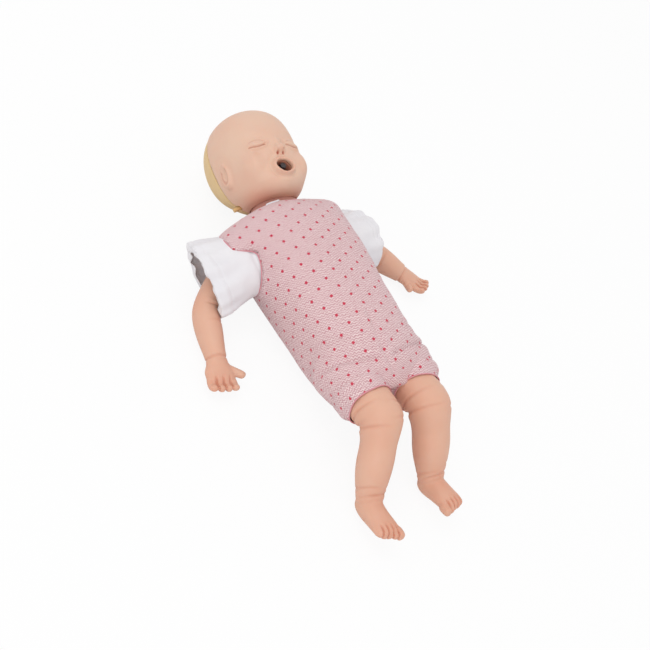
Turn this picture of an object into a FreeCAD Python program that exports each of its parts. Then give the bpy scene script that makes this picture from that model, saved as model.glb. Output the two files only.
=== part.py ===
import FreeCAD, Part
import os
from math import cos, sin, pi, radians
from FreeCAD import Vector, Matrix, Rotation, Placement

# Infant choking training manikin, lying on its back on a floor at z = 0.
# +Y points to the crown of the head, +Z up from the chest, +X to the manikin's own left.
# The origin is the middle of the flat patch of romper that the back rests on.
# All sizes are millimetres.

os.makedirs("parts", exist_ok=True)

# Cloth and skin thicknesses, from the outside of the romper inwards
ROMPER_CLOTH = 1.6
SHIRT_CLOTH = 1.2
LAYER_GAP = 0.4
SHELL_WALL = 3.0
SHIRT_INSET = ROMPER_CLOTH + LAYER_GAP
TORSO_INSET = SHIRT_INSET + SHIRT_CLOTH + LAYER_GAP
RUN_GAP = 0.3

# Trunk as the romper wraps it: distance up the body, half width, back height, front height
TRUNK_SECTIONS = [
    (-153, 14, 40, 76),
    (-147, 34, 25, 93),
    (-125, 52, 6, 109),
    (-91, 61.5, -5, 118),
    (-47, 67, -6, 122),
    (0, 71.5, -6, 123),
    (47, 75, -5, 122),
    (91, 76, -3, 119),
    (112, 75, 5, 111),
    (124, 63, 17, 103),
    (130, 40, 30, 90),
]
TRUNK_POLES = 20
TRUNK_SQUARENESS = 0.82

# The manikin lies bent a little to its left below the ribs
BEND_START_Y = 20.0
BEND_LENGTH = 140.0
SIDE_BEND = 4.5

# Shell split and the round faces that the limbs turn against
SPLIT_HEIGHT = 55.0
SHOULDER_X = 62.0
SHOULDER_Y = 97.0
SHOULDER_LEAN = 15.0
HIP_X = 35.5
HIP_Y = -91.5
HIP_LEAN = 40.0
PLUG_NECK_RADIUS = 9.0
PLUG_FLANGE_RADIUS = 13.0
PLUG_FLANGE = 3.0
PLUG_BARB = 7.0

# Arms: lengths, each arm's own angles out from the body line and down to the floor, and how far
# its elbow's bend lets it reach
UPPER_ARM = 97.0
FOREARM = 61.0
HAND_LENGTH = 39.0
UPPER_ARM_RADIUS = 20.0
ELBOW_RADIUS = 16.5
FOREARM_RADIUS = 17.0
WRIST_RADIUS = 12.0
ARM_ANGLES = {
    "right": {"side": -1, "out": 54.0, "down": 20.7, "fore_out": 12.0, "fore_down": 5.0, "reach": 1.03},
    "left": {"side": 1, "out": 77.0, "down": 22.9, "fore_out": 37.0, "fore_down": 4.0, "reach": 0.95},
}
PALM_WIDTH = 29.0
PALM_THICKNESS = 17.0
FINGER_RADIUS = 4.4
FINGER_LENGTH = 15.0
FINGER_CURL = 50.0

# Legs: lengths, and each leg's own angles out from the body line
THIGH = 88.5
SHIN = 89.5
THIGH_RISE = 17.0
SHIN_DROP = 42.6
LEG_ANGLES = {
    -1: {"out": 6.0, "shin_out": 12.0},
    1: {"out": -4.0, "shin_out": 3.0},
}
THIGH_RADIUS = 33.0
KNEE_RADIUS = 25.0
CALF_RADIUS = 24.0
ANKLE_RADIUS = 17.0
FOOT_LENGTH = 64.0
FOOT_WIDTH = 29.0
FOOT_RISE = 20.0
TOE_RADIUS = 5.2

# Romper legs and shirt sleeves
ROMPER_LEG_LENGTH = 67.0
ROMPER_LEG_EASE = 4.2
ARMHOLE_Y = 78.0
ARMHOLE_Z = 48.0
ARMHOLE_HALF_LENGTH = 44.0
ARMHOLE_HALF_HEIGHT = 34.0
SLEEVE_ENDS = {
    -1: {"centre": Vector(-122, 72, 35), "half_length": 51.0, "half_height": 32.0},
    1: {"centre": Vector(119, 88, 39), "half_length": 45.0, "half_height": 34.0},
}
SLEEVE_DROP = 20.0
SLEEVE_GATHERS = 9
GATHER_DEPTH = 1.2
SHIRT_HEM_Y = -30.0
NECKLINE_RADIUS = 35.0

# Neck
NECK_PIVOT = Vector(0, 147, 64)
NECK_LEAN = 8.0
NECK_BALL_RADIUS = 30.0
NECK_STEM_RADIUS = 27.5
NECK_WALL = 3.0
NECK_BALL_TOP = 1.0
NECK_STEM_LENGTH = 34.0
TILT_BACK = 30.0
TILT_FORWARD = 0.0

# Head, in its own frame: origin midway between the ears, +Y to the crown, +Z out of the face
HEAD_X = -1.2
HEAD_Y = 202.5
HEAD_FLEX = 7.0
HEAD_LEAN = 6.0
HEAD_SETTLE = 1.8
FACE_SKIN = 3.0
SKULL_WALL = 3.0
SKULL_STEP = 1.0
HEAD_SECTIONS = [
    (69, 12, -30, 4),
    (67, 31, -48, 25),
    (55, 45.5, -68, 44),
    (37, 53.5, -77, 53.5),
    (14, 55.5, -80, 57),
    (-6, 53.5, -76, 57),
    (-23, 51.5, -66, 57),
    (-39, 48, -51, 56),
    (-53, 41, -38, 53),
    (-62, 30, -22, 46),
    (-65, 15, 0, 35),
]
HEAD_POLES = 18
MASK_EDGE_Z = -20.0
MASK_EDGE_LEAN = 2.0
CARRIER_Y = -18.0
MOUTH_Y = -40.0
MOUTH_HALF_WIDTH = 11.0
MOUTH_HALF_HEIGHT = 8.5
MOUTH_DEPTH = 24.0
LINER_WALL = 1.6
NOSE_Y = -16.0
EYE_X = 25.0
EYE_Y = -7.0
EAR_Y = -20.0
EAR_Z = 4.0
EAR_HALF_LENGTH = 18.0
THROAT_RADIUS = 4.0
THROAT_LENGTH = 4.0
OBJECT_RADIUS = 5.2
OBJECT_LENGTH = 13.0
PEG_RADIUS = 2.6
PEG_LENGTH = 14.0

# Chest plate, spring and bellows
PLATE_Y = 38.0
PLATE_HALF_WIDTH = 46.0
PLATE_HALF_LENGTH = 50.0
PLATE_GAP = 1.0
PLATE_THICKNESS = 4.0
PLATE_TRAVEL = 35.0
GUIDE_ROD_RADIUS = 5.0
GUIDE_WALL = 2.5
GUIDE_FIT = 0.1
SPRING_Y = 20.0
SPRING_RADIUS = 12.5
SPRING_WIRE = 1.3
SPRING_TURNS = 7
BELLOWS_Y = 62.0
BELLOWS_RADIUS = 14.0
BELLOWS_PLEATS = 6
TUBE_RADIUS = 4.0
TUBE_WALL = 1.2
SCREW_RADIUS = 1.6
SCREW_HEAD_RADIUS = 3.2
SCREW_PLACES = ((65.0, 40.0), (61.0, -25.0))


def save(shape, name):
    shape.exportStep("parts/" + name + ".step")


def smooth_skin(rings):
    """Solid under one smooth sheet whose control rings are given, closed at both ends."""
    around = len(rings[0])
    along = len(rings) + 2
    middles = [sum(ring, Vector()) * (1.0 / around) for ring in (rings[0], rings[-1])]
    rows = [[middles[0]] * around] + rings + [[middles[1]] * around]
    poles = [[rows[j][i] for j in range(along)] for i in range(around)]
    sheet = Part.BSplineSurface()
    sheet.buildFromPolesMultsKnots(
        poles,
        [1] * (around + 1),
        [4] + [1] * (along - 4) + [4],
        list(range(around + 1)),
        list(range(along - 2)),
        True,
        False,
        3,
        3,
    )
    sheet.setUNotPeriodic()
    low, high, start, end = sheet.bounds()
    halves = []
    for left, right in ((low, (low + high) / 2), ((low + high) / 2, high)):
        half = sheet.copy()
        half.segment(left, right, start, end)
        halves.append(half.toShape())
    shell = Part.makeShell(halves)
    shell.sewShape()
    solid = Part.makeSolid(shell)
    return solid if solid.Volume > 0 else solid.reversed()


def rounded_power(value, power):
    return abs(value) ** power * (1 if value >= 0 else -1)


def section_ring(centre, across, up, half_across, low, high, poles, squareness=1.0, waves=0, depth=0.0):
    """Control ring of one section, which spans from low to high along up."""
    outside = 1.0 / (2.0 / 3 + cos(2 * pi / poles) / 3)
    ring = []
    for i in range(poles):
        angle = 2 * pi * i / poles
        ripple = depth * cos(waves * angle)
        reach = high if sin(angle) > 0 else -low
        x = (half_across * outside + ripple) * rounded_power(cos(angle), squareness)
        z = (reach * outside + ripple) * rounded_power(sin(angle), squareness)
        ring.append(centre + across * x + up * z)
    return ring


def box_between(low, high):
    return Part.makeBox(high.x - low.x, high.y - low.y, high.z - low.z, low)


def beyond_plane(point, normal, size=700.0):
    """Big block that fills the side of a plane that its normal points to."""
    block = Part.makeBox(size, size, size, Vector(-size / 2, -size / 2, 0))
    block.Placement = Placement(point, Rotation(Vector(0, 0, 1), normal))
    return block


def rod(start, end, radius):
    return Part.makeCylinder(radius, (end - start).Length, start, end - start)


def egg(centre, half_x, half_y, half_z):
    """Ellipsoid with its axes along X, Y and Z."""
    grow = Matrix()
    grow.scale(Vector(half_x, half_y, half_z))
    body = Part.makeSphere(1.0).transformGeometry(grow)
    body.translate(centre)
    return body


def side_bend(y):
    """How far the trunk's middle line lies to the manikin's left at a distance up the body."""
    return SIDE_BEND * min(max((BEND_START_Y - y) / BEND_LENGTH, 0.0), 1.0)


def trunk_form(inset):
    """The trunk's outer form drawn in by an even inset, flat where it lies on the floor."""
    rings = []
    first, last = TRUNK_SECTIONS[0][0], TRUNK_SECTIONS[-1][0]
    for y, half, back, front in TRUNK_SECTIONS:
        middle = (back + front) / 2
        shift = inset if y == first else -inset if y == last else 0
        centre = Vector(side_bend(y), y + shift, middle)
        reach = (front - back) / 2 - inset
        rings.append(
            section_ring(
                centre,
                Vector(1, 0, 0),
                Vector(0, 0, 1),
                half - inset,
                -reach,
                reach,
                TRUNK_POLES,
                TRUNK_SQUARENESS,
            )
        )
    return smooth_skin(rings).common(beyond_plane(Vector(0, 0, inset), Vector(0, 0, 1)))


def limb_form(stations, up, poles=14, waves=0, depth=0.0):
    """Smooth limb through stations of centre, half width and half depth."""
    rings = []
    for i, (centre, half_width, half_depth) in enumerate(stations):
        before = stations[max(i - 1, 0)][0]
        after = stations[min(i + 1, len(stations) - 1)][0]
        along = (after - before).normalize()
        across = along.cross(up).normalize()
        raised = across.cross(along)
        ripple = depth * i / (len(stations) - 1)
        rings.append(
            section_ring(
                centre, across, raised, half_width, -half_depth, half_depth, poles, 1.0, waves, ripple
            )
        )
    return smooth_skin(rings)


def along_line(start, end, share):
    return start + (end - start) * share


def direction(side, out, rise):
    """Unit vector towards the feet, swung out by one angle and raised by another."""
    flat = cos(radians(rise))
    return Vector(side * sin(radians(out)) * flat, -cos(radians(out)) * flat, sin(radians(rise)))


def shoulder_point(side):
    return Vector(side * SHOULDER_X, SHOULDER_Y, SPLIT_HEIGHT)


def shoulder_axis(side):
    return Vector(side * cos(radians(SHOULDER_LEAN)), sin(radians(SHOULDER_LEAN)), 0)


def hip_point(side):
    return Vector(side * HIP_X + side_bend(HIP_Y), HIP_Y, SPLIT_HEIGHT)


def hip_axis(side):
    return Vector(side * cos(radians(HIP_LEAN)), -sin(radians(HIP_LEAN)), 0)


def limb_seats():
    """Point and outward axis of the four round faces that the limbs turn against."""
    seats = [(shoulder_point(side), shoulder_axis(side)) for side in (-1, 1)]
    return seats + [(hip_point(side), hip_axis(side)) for side in (-1, 1)]


def limb_plug(point, axis):
    """Turning plug: a flange inside the torso wall, a neck through it, a barb into the limb."""
    inside = point - axis * (SHELL_WALL + RUN_GAP)
    plug = rod(inside - axis * PLUG_FLANGE, inside, PLUG_FLANGE_RADIUS)
    plug = plug.fuse(rod(inside, point + axis * PLUG_BARB, PLUG_NECK_RADIUS))
    barb = point + axis * (RUN_GAP + PLUG_FLANGE)
    return plug.fuse(rod(barb, barb + axis * PLUG_FLANGE, PLUG_FLANGE_RADIUS * 0.8)).removeSplitter()


# Arms with their hands


def arm_points(pose):
    side = pose["side"]
    shoulder = shoulder_point(side)
    elbow = shoulder + direction(side, pose["out"], -pose["down"]) * (UPPER_ARM * pose["reach"])
    wrist = elbow + direction(side, pose["fore_out"], -pose["fore_down"]) * (FOREARM * pose["reach"])
    return shoulder, elbow, wrist


def turned(ahead, towards, angle):
    """Unit vector turned from ahead towards another direction."""
    return (ahead * cos(radians(angle)) + towards * sin(radians(angle))).normalize()


def digit_form(root, middle, tip, radius):
    """One finger or toe as a smooth round-ended form."""
    stations = [
        (root, radius * 0.8, radius * 0.8),
        (along_line(root, middle, 0.5), radius, radius),
        (middle, radius, radius * 0.95),
        (along_line(middle, tip, 0.6), radius, radius),
        (tip, radius * 0.75, radius * 0.75),
    ]
    return limb_form(stations, Vector(0.1, 0.2, 1), 10)


def hand_form(wrist, along, side):
    """Palm down, four curled fingers side by side, and a thumb towards the body."""
    inward = along.cross(Vector(0, 0, 1)).normalize() * side
    down = along.cross(inward).normalize() * -side
    knuckles = wrist + along * (HAND_LENGTH * 0.72)
    palm = limb_form(
        [
            (wrist - along * 6, WRIST_RADIUS - 1, WRIST_RADIUS - 1.5),
            (wrist + along * 4, WRIST_RADIUS + 0.5, PALM_THICKNESS / 2),
            (along_line(wrist, knuckles, 0.5), PALM_WIDTH / 2, PALM_THICKNESS / 2),
            (knuckles, PALM_WIDTH / 2 - 1, PALM_THICKNESS / 2 - 1),
            (knuckles + along * 5, PALM_WIDTH / 2 - 4, PALM_THICKNESS / 2 - 3),
        ],
        Vector(0, 0, 1),
    )
    hand = palm
    spread = PALM_WIDTH - 2 * FINGER_RADIUS
    for finger in range(4):
        place = finger / 3.0 - 0.5
        reach = 1.0 - 0.5 * place * place
        base = knuckles + inward * (spread * place) - down
        bend = turned(along, down, FINGER_CURL * 0.4)
        middle = base + bend * (FINGER_LENGTH * 0.55 * reach)
        tip = middle + turned(along, down, FINGER_CURL) * (FINGER_LENGTH * 0.6 * reach)
        hand = hand.fuse(digit_form(base - along * 7, middle, tip, FINGER_RADIUS))
    thumb_root = along_line(wrist, knuckles, 0.35) + inward * (PALM_WIDTH / 2 - 6)
    thumb_way = (along * 0.75 + inward * 0.8 + down * 0.15).normalize()
    thumb_middle = thumb_root + thumb_way * (FINGER_LENGTH * 0.7)
    thumb_tip = thumb_root + thumb_way * (FINGER_LENGTH * 1.35)
    thumb = digit_form(thumb_root - thumb_way * 4, thumb_middle, thumb_tip, FINGER_RADIUS + 0.5)
    return hand.fuse(thumb)


def arm_form(pose, grow):
    """Upper arm and forearm without the hand, grown all round."""
    shoulder, elbow, wrist = arm_points(pose)
    upper = (elbow - shoulder).normalize()
    fore = (wrist - elbow).normalize()
    stations = [
        (shoulder - upper * 12, UPPER_ARM_RADIUS, UPPER_ARM_RADIUS),
        (shoulder + upper * 6, UPPER_ARM_RADIUS + 1.5, UPPER_ARM_RADIUS + 1.5),
        (along_line(shoulder, elbow, 0.4), UPPER_ARM_RADIUS, UPPER_ARM_RADIUS),
        (along_line(shoulder, elbow, 0.72), UPPER_ARM_RADIUS - 1, UPPER_ARM_RADIUS - 1),
        (elbow - upper * 6, ELBOW_RADIUS, ELBOW_RADIUS),
        (elbow + fore * 6, ELBOW_RADIUS + 0.5, ELBOW_RADIUS),
        (along_line(elbow, wrist, 0.45), FOREARM_RADIUS, FOREARM_RADIUS),
        (along_line(elbow, wrist, 0.8), FOREARM_RADIUS - 3, FOREARM_RADIUS - 3),
        (wrist - fore * 1, WRIST_RADIUS, WRIST_RADIUS),
        (wrist + fore * 6, WRIST_RADIUS, WRIST_RADIUS - 2),
    ]
    stations = [(centre, across + grow, deep + grow) for centre, across, deep in stations]
    return limb_form(stations, Vector(0, 0, 1))


def make_arm(pose):
    side = pose["side"]
    shoulder, elbow, wrist = arm_points(pose)
    axis = shoulder_axis(side)
    fore = (wrist - elbow).normalize()
    arm = arm_form(pose, 0)
    arm = arm.fuse(hand_form(wrist, fore, side))
    arm = arm.cut(beyond_plane(shoulder + axis * RUN_GAP, axis * -1))
    return arm.cut(limb_plug(shoulder, axis))


# Legs with their feet


def leg_points(side):
    hip = hip_point(side)
    knee = hip + direction(side, LEG_ANGLES[side]["out"], THIGH_RISE) * THIGH
    ankle = knee + direction(side, LEG_ANGLES[side]["shin_out"], -SHIN_DROP) * SHIN
    return hip, knee, ankle


def foot_form(ankle, side):
    """Short chubby foot with its heel on the floor and five round toes."""
    ahead = direction(side, LEG_ANGLES[side]["shin_out"], FOOT_RISE)
    across = ahead.cross(Vector(0, 0, 1)).normalize() * -side
    up = across.cross(ahead).normalize()
    up = up if up.z > 0 else up * -1
    heel = ankle - ahead * 7 - up * 6
    sole = FOOT_WIDTH / 2
    foot = limb_form(
        [
            (heel - ahead * 5, 8, 8),
            (heel - ahead * 2, 13, 13),
            (heel + ahead * 9, 15, 16),
            (heel + ahead * 24, sole - 0.5, 14),
            (heel + ahead * 38, sole + 0.5, 11),
            (heel + ahead * 50, sole + 1.5, 8.5),
            (heel + ahead * 57, sole - 2, 6.5),
        ],
        up,
    )
    ball_line = heel + ahead * (FOOT_LENGTH - 14)
    for toe in range(5):
        place = toe / 4.0 - 0.5
        radius = TOE_RADIUS * (1.2 if toe == 0 else 0.95 - 0.06 * toe)
        reach = 10.0 - 9.0 * (place + 0.5) ** 1.6
        root = ball_line + across * ((FOOT_WIDTH - TOE_RADIUS) * place) - up * 1.0
        middle = root + ahead * (reach * 0.5)
        foot = foot.fuse(digit_form(root - ahead * 6, middle, root + ahead * reach, radius))
    return foot


def make_leg(side):
    hip, knee, ankle = leg_points(side)
    axis = hip_axis(side)
    thigh = (knee - hip).normalize()
    shin = (ankle - knee).normalize()
    stations = [
        (hip - thigh * 16, THIGH_RADIUS - 4, THIGH_RADIUS - 1),
        (hip + thigh * 8, THIGH_RADIUS, THIGH_RADIUS),
        (along_line(hip, knee, 0.4), THIGH_RADIUS - 4, THIGH_RADIUS - 4),
        (along_line(hip, knee, 0.68), THIGH_RADIUS - 6, THIGH_RADIUS - 7),
        (knee - thigh * 12, KNEE_RADIUS + 1, KNEE_RADIUS + 1),
        (knee, KNEE_RADIUS + 1, KNEE_RADIUS + 2),
        (knee + shin * 14, KNEE_RADIUS - 1, KNEE_RADIUS - 1),
        (along_line(knee, ankle, 0.32), KNEE_RADIUS - 3, KNEE_RADIUS - 3),
        (along_line(knee, ankle, 0.5), CALF_RADIUS, CALF_RADIUS),
        (along_line(knee, ankle, 0.72), CALF_RADIUS - 3, CALF_RADIUS - 2),
        (ankle - shin * 12, ANKLE_RADIUS, ANKLE_RADIUS),
        (ankle - shin * 2, ANKLE_RADIUS - 1, ANKLE_RADIUS - 1),
        (ankle + shin * 4, ANKLE_RADIUS - 3, ANKLE_RADIUS - 3),
    ]
    leg = limb_form(stations, Vector(0, 0, 1))
    leg = leg.fuse(foot_form(ankle, side))
    leg = leg.cut(beyond_plane(hip + axis * RUN_GAP, axis * -1))
    return leg.cut(limb_plug(hip, axis))


# Clothes


def romper_leg(side, ease):
    """Short trouser leg round the thigh; ease is its clearance to the leg."""
    hip, knee, _ = leg_points(side)
    thigh = (knee - hip).normalize()
    end = hip + thigh * ROMPER_LEG_LENGTH
    top = THIGH_RADIUS + ease
    stations = [
        (hip - thigh * 18, top - 8, top - 6),
        (hip + thigh * 4, top, top),
        (along_line(hip, end, 0.45), top - 3, top - 3),
        (along_line(hip, end, 0.8), top - 5, top - 5),
        (end, top - 5, top - 6),
        (end + thigh * 30, top - 6, top - 8),
    ]
    return limb_form(stations, Vector(0, 0, 1))


def oval_column(centre, along, half_length, half_height, way):
    """Oval column swept along a way, its long half axis pointing along another."""
    up = way.cross(along).normalize()
    oval = Part.Ellipse(centre + along * half_length, centre + up * half_height, centre)
    return Part.Face(Part.Wire(oval.toShape())).extrude(way)


def armhole(side, grow):
    """Space of the oval opening in the romper's side that a shirt sleeve comes out of."""
    start = Vector(side * 40, ARMHOLE_Y, ARMHOLE_Z)
    half_length = ARMHOLE_HALF_LENGTH + grow
    half_height = ARMHOLE_HALF_HEIGHT + grow
    return oval_column(start, Vector(0, 1, 0), half_length, half_height, Vector(side * 60, 0, 0))


def neckline(radius):
    """Round neck opening, lower at the front than at the back."""
    foot = Vector(0, 104, 84)
    return rod(foot, foot + Vector(0, 60, -26), radius)


def make_romper():
    outer = trunk_form(0)
    inner = trunk_form(ROMPER_CLOTH)
    for side in (-1, 1):
        hip, knee, _ = leg_points(side)
        thigh = (knee - hip).normalize()
        hem = beyond_plane(hip + thigh * ROMPER_LEG_LENGTH, thigh)
        outer = outer.fuse(romper_leg(side, ROMPER_LEG_EASE + ROMPER_CLOTH).cut(hem))
        inner = inner.fuse(romper_leg(side, ROMPER_LEG_EASE))
    romper = outer.cut(inner)
    for side in (-1, 1):
        romper = romper.cut(armhole(side, 0))
    return romper.cut(neckline(NECKLINE_RADIUS)).cut(collar_room())


def collar_room():
    """Space round the neck that both garments leave free."""
    room = Part.makeSphere(NECK_BALL_RADIUS + 1, NECK_PIVOT)
    return room.fuse(rod(NECK_PIVOT, NECK_PIVOT - neck_axis() * 60, NECK_STEM_RADIUS + 1))


def sleeve_form(side, inset):
    """Flared cap sleeve; its gathers deepen towards the open end."""
    end = SLEEVE_ENDS[side]
    root = Vector(side * (SHOULDER_X + 4), ARMHOLE_Y, ARMHOLE_Z)
    ahead = (end["centre"] - root).normalize()
    root_length = ARMHOLE_HALF_LENGTH - LAYER_GAP - inset
    root_height = ARMHOLE_HALF_HEIGHT - LAYER_GAP - inset
    end_length = end["half_length"] - inset
    end_height = end["half_height"] - inset
    longer = ahead * (16 + inset * 6)
    stations = [
        (root - ahead * 12, root_length, root_height),
        (root, root_length, root_height),
        (along_line(root, end["centre"], 0.35), root_length - 1, root_height - 1),
        (along_line(root, end["centre"], 0.75), end_length - 1, end_height),
        (end["centre"], end_length, end_height),
        (end["centre"] + longer, end_length, end_height),
    ]
    return limb_form(stations, Vector(0, 0, 1), 4 * SLEEVE_GATHERS, SLEEVE_GATHERS, GATHER_DEPTH)


def make_undershirt():
    outer = trunk_form(SHIRT_INSET)
    inner = trunk_form(SHIRT_INSET + SHIRT_CLOTH)
    over_romper = trunk_form(-LAYER_GAP)
    for side in (-1, 1):
        outer = outer.fuse(sleeve_form(side, 0).cut(over_romper.cut(armhole(side, -LAYER_GAP))))
        inner = inner.fuse(sleeve_form(side, SHIRT_CLOTH))
    shirt = outer.cut(inner).common(beyond_plane(Vector(0, SHIRT_HEM_Y, 0), Vector(0, 1, 0)))
    shirt = shirt.cut(neckline(NECKLINE_RADIUS - 1.5)).cut(collar_room())
    drop = radians(SLEEVE_DROP)
    for pose in ARM_ANGLES.values():
        side = pose["side"]
        shirt = shirt.cut(beyond_plane(SLEEVE_ENDS[side]["centre"], Vector(side * cos(drop), 0, -sin(drop))))
        shirt = shirt.cut(arm_form(pose, LAYER_GAP))
    return shirt


# Torso shells and the chest mechanism


def plate_prism(grow):
    """Upright oval column over the breastbone."""
    oval = Part.Ellipse(Vector(), PLATE_HALF_LENGTH + grow, PLATE_HALF_WIDTH + grow).toShape()
    face = Part.Face(Part.Wire(oval))
    face.rotate(Vector(), Vector(0, 0, 1), 90)
    face.translate(Vector(0, PLATE_Y, SPLIT_HEIGHT + 8))
    return face.extrude(Vector(0, 0, 120))


def seat_cuts(solid, depth):
    """Flat faces at shoulders and hips, drawn inwards by a depth."""
    for point, axis in limb_seats():
        solid = solid.cut(beyond_plane(point - axis * depth, axis))
    return solid


def neck_axis():
    return Vector(0, cos(radians(NECK_LEAN)), sin(radians(NECK_LEAN)))


def torso_shell():
    inner = seat_cuts(trunk_form(TORSO_INSET + SHELL_WALL), SHELL_WALL)
    shell = seat_cuts(trunk_form(TORSO_INSET), 0).cut(inner)
    for point, axis in limb_seats():
        shell = shell.cut(rod(point - axis * 12, point + axis * 12, PLUG_NECK_RADIUS + RUN_GAP))
        inside = point - axis * SHELL_WALL
        shell = shell.cut(rod(inside - axis * (PLUG_FLANGE + 2), inside, PLUG_FLANGE_RADIUS + 1))
    foot = NECK_PIVOT - neck_axis() * 60
    return shell.cut(rod(foot, NECK_PIVOT, NECK_STEM_RADIUS - NECK_WALL))


def shell_screw_places():
    """Screw bosses sit inside the split line, two at the chest and two at the waist."""
    places = []
    for side in (-1, 1):
        places += [Vector(side * x + side_bend(y), y, SPLIT_HEIGHT) for x, y in SCREW_PLACES]
    return places


def make_shells():
    whole = torso_shell()
    boss_room = trunk_form(TORSO_INSET + SHELL_WALL / 2)
    front = whole.common(beyond_plane(Vector(0, 0, SPLIT_HEIGHT), Vector(0, 0, 1)))
    back = whole.cut(beyond_plane(Vector(0, 0, SPLIT_HEIGHT), Vector(0, 0, 1)))
    front = front.cut(plate_prism(PLATE_GAP))
    for place in shell_screw_places():
        high = Vector(0, 0, 14)
        front = front.fuse(rod(place, place + high, SCREW_HEAD_RADIUS + 1).common(boss_room))
        back = back.fuse(rod(place - high, place, SCREW_HEAD_RADIUS + 1).common(boss_room))
    screw_room = Part.makeCompound(shell_screws(RUN_GAP / 3))
    front = front.cut(screw_room)
    back = back.cut(screw_room)
    guide = Vector(0, SPRING_Y, TORSO_INSET + SHELL_WALL)
    seat = rod(guide - Vector(0, 0, 0.5), guide + Vector(0, 0, 4), SPRING_RADIUS - SPRING_WIRE - RUN_GAP)
    back = back.fuse(seat)
    return front, back


def shell_screws(grow):
    """Screws that draw the back shell to the front one, heads in the back boss."""
    screws = []
    for place in shell_screw_places():
        head = place - Vector(0, 0, 14)
        screw = rod(head, head + Vector(0, 0, 2.5), SCREW_HEAD_RADIUS + grow)
        screws.append(screw.fuse(rod(head, place + Vector(0, 0, 8), SCREW_RADIUS + grow)))
    return screws


def plate_underside():
    """Height of the flat pad under the chest plate that the spring pushes."""
    return TRUNK_SECTIONS[5][3] - TORSO_INSET - PLATE_THICKNESS - 9.0


def make_chest_plate():
    plate = trunk_form(TORSO_INSET).cut(trunk_form(TORSO_INSET + PLATE_THICKNESS)).common(plate_prism(0))
    filled = trunk_form(TORSO_INSET).common(plate_prism(0))
    for y, radius in ((SPRING_Y, SPRING_RADIUS + SPRING_WIRE + 1.5), (BELLOWS_Y, BELLOWS_RADIUS + 1)):
        pad = Vector(0, y, plate_underside())
        plate = plate.fuse(rod(pad, pad + Vector(0, 0, 40), radius).common(filled))
    top = Vector(0, SPRING_Y, plate_underside() + 2)
    return plate.cut(rod(Vector(0, SPRING_Y, plate_underside() - 1), top, GUIDE_ROD_RADIUS))


def make_guide_rod():
    low = guide_top() - 8.0
    return rod(Vector(0, SPRING_Y, low), Vector(0, SPRING_Y, plate_underside() + 2), GUIDE_ROD_RADIUS)


def guide_top():
    return plate_underside() - PLATE_TRAVEL - 2.0


def make_guide_tube():
    low = Vector(0, SPRING_Y, TORSO_INSET + SHELL_WALL + 4)
    top = Vector(0, SPRING_Y, guide_top())
    bore = GUIDE_ROD_RADIUS + GUIDE_FIT
    return rod(low, top, bore + GUIDE_WALL).cut(rod(low + Vector(0, 0, 3), top + Vector(0, 0, 1), bore))


def make_spring():
    low = TORSO_INSET + SHELL_WALL + RUN_GAP + SPRING_WIRE
    high = plate_underside() - RUN_GAP - SPRING_WIRE
    steps = SPRING_TURNS * 12
    ring = SPRING_RADIUS * 3 / (2 + cos(2 * pi / 12))
    stations = []
    for step in range(steps + 1):
        angle = 2 * pi * SPRING_TURNS * step / steps
        height = low + (high - low) * step / steps
        centre = Vector(ring * cos(angle), SPRING_Y + ring * sin(angle), height)
        stations.append((centre, SPRING_WIRE, SPRING_WIRE))
    return limb_form(stations, Vector(0, 0, 1), 8)


def make_bellows():
    low = TORSO_INSET + SHELL_WALL + RUN_GAP
    high = plate_underside() - RUN_GAP
    pitch = (high - low - 8) / BELLOWS_PLEATS
    wall = 1.4
    outer, inner = [], []
    for i in range(BELLOWS_PLEATS):
        z = low + 4 + i * pitch
        outer += [Vector(BELLOWS_RADIUS - 4, 0, z), Vector(BELLOWS_RADIUS, 0, z + pitch / 2)]
        inner += [Vector(BELLOWS_RADIUS - 4 - wall, 0, z), Vector(BELLOWS_RADIUS - wall, 0, z + pitch / 2)]
    end = high - 4
    outer = [Vector(0, 0, low), Vector(BELLOWS_RADIUS - 4, 0, low)] + outer
    outer += [Vector(BELLOWS_RADIUS - 4, 0, end), Vector(BELLOWS_RADIUS - 4, 0, high), Vector(0, 0, high)]
    inner = [Vector(0, 0, low + wall), Vector(BELLOWS_RADIUS - 4 - wall, 0, low + wall)] + inner
    inner += [Vector(BELLOWS_RADIUS - 4 - wall, 0, end), Vector(0, 0, high - wall)]
    bodies = []
    for profile in (outer, inner):
        face = Part.Face(Part.makePolygon(profile + [profile[0]]))
        bodies.append(face.revolve(Vector(), Vector(0, 0, 1), 360))
    bellows = bodies[0].cut(bodies[1])
    bellows.translate(Vector(0, BELLOWS_Y, 0))
    port = bellows_port()
    stub = rod(port, port + Vector(0, BELLOWS_RADIUS + 2, 0), TUBE_RADIUS + TUBE_WALL)
    middle = Vector(0, BELLOWS_Y, low)
    stub = stub.cut(rod(middle, middle + Vector(0, 0, 30), BELLOWS_RADIUS - 4 - wall))
    return bellows.fuse(stub).cut(rod(port, port + Vector(0, 40, 0), TUBE_RADIUS - TUBE_WALL))


def bellows_port():
    return Vector(0, BELLOWS_Y, TORSO_INSET + SHELL_WALL + RUN_GAP + 9)


# Neck and swivel


def make_neck_skin():
    """Hollow vinyl neck: a stem from the torso with a ball under the skull."""
    axis = neck_axis()
    base = NECK_PIVOT - axis * NECK_STEM_LENGTH
    skin = Part.makeSphere(NECK_BALL_RADIUS, NECK_PIVOT).fuse(rod(base, NECK_PIVOT, NECK_STEM_RADIUS))
    room = Part.makeSphere(NECK_BALL_RADIUS - NECK_WALL, NECK_PIVOT)
    room = room.fuse(rod(base - axis * 5, NECK_PIVOT, NECK_STEM_RADIUS - NECK_WALL))
    skin = skin.cut(room).cut(beyond_plane(NECK_PIVOT + axis * NECK_BALL_TOP, axis))
    return skin.cut(trunk_form(TORSO_INSET)).cut(airway_room())


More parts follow.
